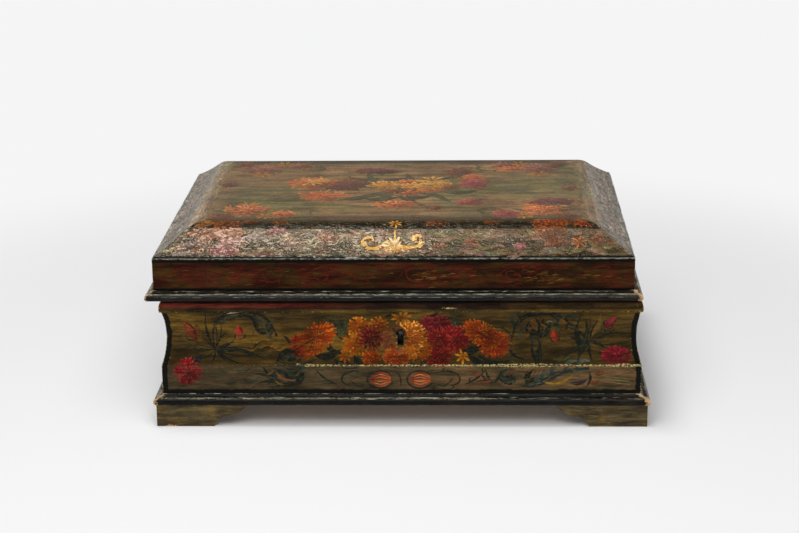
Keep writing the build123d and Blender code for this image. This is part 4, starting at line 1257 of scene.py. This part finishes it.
# The painting on the lid: faint rinceaux on the frame, scrolls and flowers on the slopes with a gilt
# ornament over the lock, and a looser bouquet with four corner sprays on the flat top.
def frame_scrolls(brush, far, count):
    """A running scroll in dull red, with ochre dabs along its foot."""
    chance = brush.chance
    red, ochre = (rgb(82, 22, 12), rgb(104, 38, 18)), (rgb(66, 46, 16), rgb(98, 72, 28))
    pitch = 2 * far / count
    for k in range(count):
        u = -far + pitch * (k + 0.5 + 0.16 * chance.normal())
        way = 1 if chance.random() < 0.5 else -1
        size = chance.uniform(6, 9.5)
        ring = spiral(u, 121, size, 2, (2.6, 8.2), squash=0.8, way=way)
        curl(brush, 0.6, red, *ring, lobes=4)
        curl(
            brush, 0.45, red, (u - pitch * 0.5, 117), (u - pitch * 0.25, 125), (u, 129),
            (u + pitch * 0.22, 126), lobes=2
        )
        # On the long sides three of the scrolls have a lighter edge.
        if k in (count // 2, count - 3, count - 2) and far > 150:
            curl(brush, 0.35, ochre, *[(p, q + 0.8) for p, q in ring])
        for _ in range(5):
            p, q = u + chance.uniform(-0.5, 0.5) * pitch, chance.uniform(113, 128)
            brush.stroke(
                [(p - 3, q - 0.6), (p, q + 0.5), (p + 3, q)], 0.45,
                *(ochre if chance.random() < 0.6 else red)
            )


def lit_ends(brush):
    """Ochre highlights on the frame's front, over the lock and near the right end."""
    chance = brush.chance
    for middle, spread, number in ((26, 10, 16), (118, 24, 14)):
        for _ in range(number):
            p, q = middle + spread * chance.normal(), 119.5 + 3.2 * chance.normal()
            brush.stroke(
                [(p - 3, q - 0.8), (p, q + 0.3), (p + 3, q + 0.1)], 0.4, rgb(84, 60, 20),
                rgb(120, 94, 38)
            )


def wriggles(brush, count, left, right, half, colour):
    """Short dark lines that wander, as cracked outlines do."""
    chance = brush.chance
    for _ in range(count):
        u, v, length = chance.uniform(left, right), chance.uniform(4, 26), chance.uniform(9, 20)
        heading = chance.choice((0.0, math.pi)) + chance.normal() * 0.5
        path = [(u, v)]
        for _ in range(6):
            heading += chance.normal() * 0.8
            u, v = u + length / 6 * math.cos(heading), v + length / 6 * math.sin(heading)
            path.append((u, min(max(v, 2.5), 27.5)))
        brush.stroke(path, half, colour, colour, (0.3, 1.0, 0.8, 0.3))


def slope_mottle(brush, far):
    """What is left of the leaves and scrolls under the shine: dabs of many dull colours, and wriggles."""
    chance = brush.chance
    dabs = (
        rgb(132, 96, 80), rgb(140, 108, 82), rgb(112, 94, 56), rgb(126, 112, 70), rgb(96, 94, 68),
        rgb(86, 86, 70), rgb(108, 68, 52), rgb(112, 76, 68), rgb(74, 66, 48), rgb(56, 50, 36)
    )
    for _ in range(int(far * 0.7)):
        u, v = chance.uniform(-far, far), chance.uniform(3, 27)
        tilt, size = chance.normal() * 0.35, chance.uniform(4, 11)
        du, dv = size * math.cos(tilt), size * math.sin(tilt)
        colour = dabs[chance.integers(len(dabs))]
        brush.stroke(
            [(u - du, v - dv), (u, v + chance.normal()), (u + du, v + dv)], chance.uniform(1.2, 3.2),
            colour, shade=0.1
        )
    for _ in range(int(far * 0.16)):
        u, v = chance.uniform(-far, far), chance.uniform(10, 20)
        size, way = chance.uniform(5, 9), chance.choice((-1, 1))
        ring = spiral(u, v, size, 1.5, (2.6, 8.6), way=way)
        curl(brush, 0.7, (rgb(48, 44, 32), rgb(126, 108, 60)), *ring, lobes=3)
    wriggles(brush, int(far * 0.6), -far, far, 0.36, rgb(24, 20, 16))


def gilt_ornament(brush):
    """Two gilt scrolls that meet in a tuft of leaves under a finial, over the lock."""
    shadow, gold, bright = rgb(96, 60, 22), rgb(228, 176, 86), rgb(255, 236, 178)
    stem = 1.2
    left = [
        (-16.7, 15.5), (-16.4, 19.0), (-19.0, 20.4), (-22.0, 17.7), (-22.1, 13.6), (-19.6, 10.6),
        (-15.7, 9.6), (-11.9, 10.5), (-8.5, 12.7), (-5.0, 15.8), (-3.1, 17.6)
    ]
    right = [
        (18.0, 15.5), (16.4, 20.0), (19.1, 22.6), (21.9, 20.3), (22.2, 15.6), (19.2, 11.8),
        (15.4, 11.2), (10.5, 10.8), (6.4, 11.4), (3.2, 13.6)
    ]
    brush.body = 0.95
    for arm in (left, right):
        under = [(p + 0.5, q - 1.3) for p, q in arm]
        over = [(p - 0.3, q + 0.7) for p, q in arm]
        brush.stroke(under, 2.5, shadow, shadow, (0.5, 1.0, 1.0, 1.0, 0.9, 0.8))
        brush.stroke(arm, 2.7, gold, gold, (0.7, 1.0, 1.0, 0.9, 0.9, 0.9))
        brush.stroke(over, 1.2, bright, bright, (0.3, 1.0, 0.6, 1.0, 0.7, 0.6))
        p, q = arm[1]
        hollow = [(p - 0.6, q - 3.4), (p + 0.6, q - 2), (p + 1.4, q - 0.4)]
        brush.stroke(hollow, 1.4, shadow, rgb(150, 92, 34))
    for tip in ((-9.5, 8.6), (-6.5, 6.4), (-2.5, 6.0), (4.6, 6.2), (8.8, 7.2), (12.6, 8.4)):
        brush.stroke(
            [(stem, 14.5), ((stem + tip[0]) / 2, tip[1] + 3.6), tip], 1.7, gold, rgb(190, 126, 54),
            (0.4, 1.0, 1.0, 0.4)
        )
        brush.stroke(
            [(stem, 14.9), ((stem + tip[0]) / 2, tip[1] + 4.4), (tip[0], tip[1] + 1)], 0.5, bright,
            gold, (0.3, 1.0, 0.7, 0.2)
        )
    for tip in ((-6.0, 17.5), (-3.2, 21.0), (6.2, 17.0), (5.0, 21.5)):
        brush.stroke(
            [(stem, 11.0), ((stem + tip[0]) / 2 + 0.3, tip[1] - 3.5), tip], 1.3, rgb(168, 104, 40),
            bright, (0.4, 1.0, 1.0, 0.3)
        )
    for u, v in ((-5.8, 23.1), (0.2, 23.7), (4.8, 23.5)):
        brush.stroke(
            [(u - 2.2, v), (u, v + 0.9), (u + 2.2, v)], 1.1, rgb(120, 60, 24), rgb(206, 140, 66)
        )
    brush.stroke([(1.2, 6), (1.2, 14), (1.4, 22), (1.8, 31)], 1.0, gold, gold, (0.5, 1.0, 0.8, 0.6))
    brush.stroke([(0.8, 9), (0.9, 15), (1.2, 22), (1.6, 30)], 0.4, bright, bright)
    star(brush, 1.4, 35.4, 5.4, 7, rgb(176, 92, 20), rgb(240, 178, 66), half=0.8)
    brush.body = 0.0


def slope_flowers(brush):
    """The flowers of the front slope, where a visitor looks first."""
    peach = rgb(146, 94, 70), rgb(168, 112, 84), rgb(190, 132, 100)
    pink = rgb(134, 92, 84), rgb(148, 102, 94), rgb(164, 116, 106)
    wine = rgb(120, 62, 62), rgb(140, 76, 76), rgb(160, 92, 92)
    for path, half in (
        (((-170, 5), (-160, 7), (-148, 6)), 4.0), (((-164, 13), (-154, 15), (-146, 13)), 3.6),
        (((-118, 20), (-108, 22), (-98, 20)), 3.0)
    ):
        brush.stroke(path, half, rgb(140, 120, 114), rgb(126, 108, 98), shade=0.04)
    dull = rgb(92, 50, 30), rgb(120, 70, 42), rgb(148, 92, 58)
    for u, v, size, paint, flat in (
        (-148, 26, 12, peach, 0.35), (-146, 19, 7, peach, 0.8), (-131, 25, 15, peach, 0.42),
        (-126, 17, 10, pink, 0.6), (-130, 8, 12, wine, 0.42), (-161, 10, 7, pink, 0.8),
        (-150, 9, 6, dull, 0.8), (-89, 27, 8, wine, 0.4), (60, 16, 6, dull, 0.7),
        (98, 12, 5, wine, 0.8), (121, 25, 13, dull, 0.5), (126, 16, 9, dull, 0.6),
        (143, 16, 6, RUST, 0.9), (160, 18, 9, dull, 0.7), (36, 12, 6, dull, 0.6),
        (-50, 20, 9, dull, 0.5)
    ):
        bloom(brush, u, v, size, *paint, petals=8, rings=3, squash=flat, ragged=0.06, fine=1.0)
    star(brush, 143, 16, 6.5, 6, rgb(150, 90, 30), rgb(196, 140, 60), half=1.0)
    for u, v in ((-159, 12), (-66, 9), (-40, 20), (38, 8), (84, 22), (108, 8)):
        leaf(brush, (u - 8, v - 3), (u + 8, v + 3), 2.0, rgb(70, 62, 34), OCHRE[1])
    wriggles(brush, 46, -165, 20, 0.4, rgb(30, 22, 16))


def shoulder_flowers(brush):
    """Bright flowers on the dark shoulder, where the varnish doesn't shine."""
    brown = rgb(70, 28, 10), rgb(104, 50, 16), rgb(146, 84, 32)
    amber_flower = rgb(140, 72, 16), rgb(178, 108, 34), rgb(212, 150, 66)
    for u, v, size, paint in (
        (121, 36, 14, ORANGE), (148, 37, 11, RUST), (138, 38, 6, brown), (-149, 37, 9, amber_flower),
        (-130, 36, 11, brown), (-112, 39, 6, brown), (32.7, 35.6, 8, brown), (76, 37, 6, brown),
        (-88, 37, 6, brown)
    ):
        bloom(brush, u, v, size, *paint, petals=8, squash=0.55, ragged=0.1, fine=2.0)
    for u in (-98, -74, -52, -28, 16, 54, 92, 108):
        leaf(brush, (u - 8, 33), (u + 8, 38), 1.8, *LEAF)


def top_bouquet(brush, middle):
    """The flat top: a bouquet in the middle and a spray at each corner, all softened by the varnish.
    middle is its place up the outline."""
    brush.shift = (0.0, middle)
    soft = dict(ragged=0.12, fine=1.5)
    wash = rgb(86, 80, 46), rgb(100, 94, 58)
    rose = rgb(150, 66, 34), rgb(190, 100, 54), rgb(224, 148, 80)
    gold = rgb(168, 98, 34), rgb(210, 142, 56), rgb(240, 188, 92)
    brown = rgb(98, 50, 32), rgb(122, 70, 44), rgb(150, 96, 60)
    plum = rgb(84, 40, 36), rgb(110, 56, 50), rgb(136, 76, 64)
    red = rgb(130, 46, 42), rgb(160, 68, 62), rgb(190, 96, 84)
    shade = rgb(64, 56, 32), rgb(88, 80, 48)
    for u, v in ((-52, 8), (-34, -28), (-12, -30), (16, -26), (30, 34), (-30, 34), (52, -10), (0, 34)):
        leaf(brush, (u - 13, v - 3), (u + 13, v + 3), 6.5, *shade)
    leaves(
        brush, (0, 0), wash, (-50, -34, 6.0), (-64, 6, 5.5), (-44, 44, 5.5), (6, 52, 5.5),
        (50, 40, 5.5), (66, -6, 5.5), (44, -44, 6.0), (-8, -62, 5.5), (-28, 56, 5.0), (28, -60, 5.0)
    )
    for u, v, size, flat, paint in (
        (-40, 17, 15, 1.3, brown), (-21, 60, 20, 0.5, plum), (-72, 18, 20, 1.0, rose),
        (-60, -24, 19, 0.9, rose), (-66, 24, 9, 0.7, gold), (-48, 6, 10, 1.0, plum),
        (0, -50, 18, 0.7, rose), (9, -14, 10, 1.2, rose), (-4, -8, 11, 0.7, brown),
        (26, -4, 12, 0.8, rose), (42, 2, 9, 0.9, brown), (31, -62, 7, 1.2, brown),
        (50, 56, 12, 1.5, brown), (62, 36, 10, 1.2, rose), (64, 17, 13, 1.4, red),
        (58, -44, 11, 0.9, red), (-11, 12, 14, 0.95, gold), (8, 22, 10, 0.9, rose),
        (10, 8, 9, 1.1, gold), (24, 10, 13, 1.1, gold), (36, 14, 9, 1.0, gold)
    ):
        bloom(brush, u, v, size, *paint, squash=flat, **soft)
    star(brush, 28, 28, 14, 9, *gold[1:], half=1.8)
    star(brush, -74, 22, 12, 8, *gold[1:], half=1.5)
    faded = rgb(122, 66, 46), rgb(146, 88, 66), rgb(168, 112, 88)
    for across, deep in ((-1, -1), (1, -1), (-1, 1), (1, 1)):
        large = rose if deep < 0 else faded
        small = faded if deep > 0 else red if across > 0 else rose
        hub_u, hub_v = across * 120, deep * 72

        def off(along, up):
            """A place measured from the hub, along towards the end and up towards the edge."""
            return hub_u + across * along, hub_v + deep * up

        leaves(
            brush, (hub_u, hub_v), wash, (hub_u - 28, hub_v + 8, 4.0), (hub_u + 22, hub_v + 4, 4.0),
            (hub_u - 18, hub_v - 12, 3.6), (hub_u + 16, hub_v - 12, 3.6),
            (hub_u, hub_v + 24 * -deep, 3.6)
        )
        bloom(brush, *off(-2, -4), 18, *large, petals=10, **soft)
        bloom(brush, *off(-32, 8), 11, *small, petals=8, **soft)
        bloom(brush, *off(16, 14), 9, *brown, petals=8, **soft)
        star(brush, *off(-18, 14), 8, 7, *gold[:2], half=1.3)
        star(brush, *off(-2, -22), 9, 7, *gold[:2], half=1.2)
        curl(brush, 1.8, wash, off(-30, 0), off(-44, -14), off(-56, -4), off(-50, 8), lobes=4)
    bloom(brush, 126, -44, 19, *plum, petals=10, squash=0.6, **soft)
    bloom(brush, 142, 0, 7, *brown, petals=8, rings=3, squash=1.5, **soft)
    bloom(brush, -142, 14, 7, *plum, petals=8, rings=3, squash=1.3, **soft)
    bloom(brush, 96, 68, 14, *rose, petals=8, rings=3, squash=0.6, **soft)
    brush.shift = (0.0, 0.0)


fascia_half, fascia_foot = 185.0, 109.5
fascia_flowers = oil_paint("fascia_scroll_paint", fascia_ground, fascia_wear_and_highlight, lid_middle, specular=0.05)
for seed, turn, name, far, deep in (
    (11, 0, "front", 178, fascia_deep), (12, 90, "right", 126, fascia_half),
    (13, 180, "back", 178, fascia_deep), (14, 270, "left", 126, fascia_half)
):
    around = Brush(seed)
    frame_scrolls(around, far, 10 if far > 150 else 7)
    if name == "front":
        lit_ends(around)
    upright, heights = [(deep, fascia_foot), (deep, slope_foot)], [fascia_foot, slope_foot]
    around.lay(
        name + "_frame_scrolls", upright, heights, turn, lid_middle, fascia_flowers, "lid",
        "brown_lacquer"
    )

lid_flowers = oil_paint(
    "lid_flower_paint", lid_ground, lid_varnish_and_edge_highlight, lid_middle, cover=(0.72, 0.97), grain=0.12, ragged=0.2,
    streaks=0.2, **varnish
)


def lid_outline(deep):
    """From the lid's edge up its slope and over the shoulder to the flat."""
    fold = (deep - 23.5, 151.5)
    slope = arc_points((deep, slope_foot), (deep - 11.75, 142.25), fold, 8)
    shoulder = arc_points(fold, (deep - 29.58, 154.38), (deep - 37.0, 155.5), 8)
    return slope + shoulder[1:]


def lay_on_lid(brush, name, outline, turn):
    far = lengths_along(outline)
    brush.lay(name, outline, far, turn, lid_middle, lid_flowers, "lid", "lid_lacquer")


def slope_brush(seed, half):
    """A brush for one slope, whose mitred ends come closer together on the way up."""
    made = Brush(seed)
    made.half, made.taper = half, 0.86
    return made


long_half, short_half = 184.0, 132.5
long_outline = lid_outline(fascia_deep)
over_top = long_outline + [(-out, z) for out, z in reversed(long_outline)]
lid_front = slope_brush(21, long_half)
slope_mottle(lid_front, 168)
slope_flowers(lid_front)
shoulder_flowers(lid_front)
gilt_ornament(lid_front)
lay_on_lid(lid_front, "front_slope_flowers", long_outline, 0)

lid_top = Brush(22)
top_bouquet(lid_top, lengths_along(over_top)[-1] / 2)
lay_on_lid(lid_top, "top_flowers", over_top, 0)

# A black line, ruled along the foot of the two long slopes where they stand on the frame. It is one
# long stroke of the paint that the frame's scrolls are in.
foot_strip = [(fascia_deep, slope_foot), (fascia_deep - 3.9, slope_foot + 2.1)]
for turn, name in ((0, "front"), (180, "back")):
    foot_line = Brush(30)
    ruled = [(-long_half, 1.3), (0, 1.3), (long_half, 1.3)]
    foot_line.stroke(ruled, 1.25, rgb(12, 12, 9), shape=(1, 1, 1))
    foot_line.lay(
        name + "_slope_foot_line", foot_strip, [0, 4.43], turn, lid_middle, fascia_flowers, "lid",
        "black_lacquer"
    )

lid_back = slope_brush(23, long_half)
slope_mottle(lid_back, 168)
lay_on_lid(lid_back, "back_slope_scrolls", long_outline, 180)
faded_brown = rgb(92, 60, 46), rgb(112, 78, 60), rgb(132, 98, 78)
for seed, turn, name in ((24, 90, "right"), (25, 270, "left")):
    lid_end = slope_brush(seed, short_half)
    slope_mottle(lid_end, 112)
    for u in (-60, 0, 60):
        bloom(lid_end, u, 15, 10, *faded_brown, squash=0.9)
    lay_on_lid(lid_end, name + "_slope_scrolls", lid_outline(fascia_half), turn)

bpy.context.scene.view_settings.view_transform = "Standard"
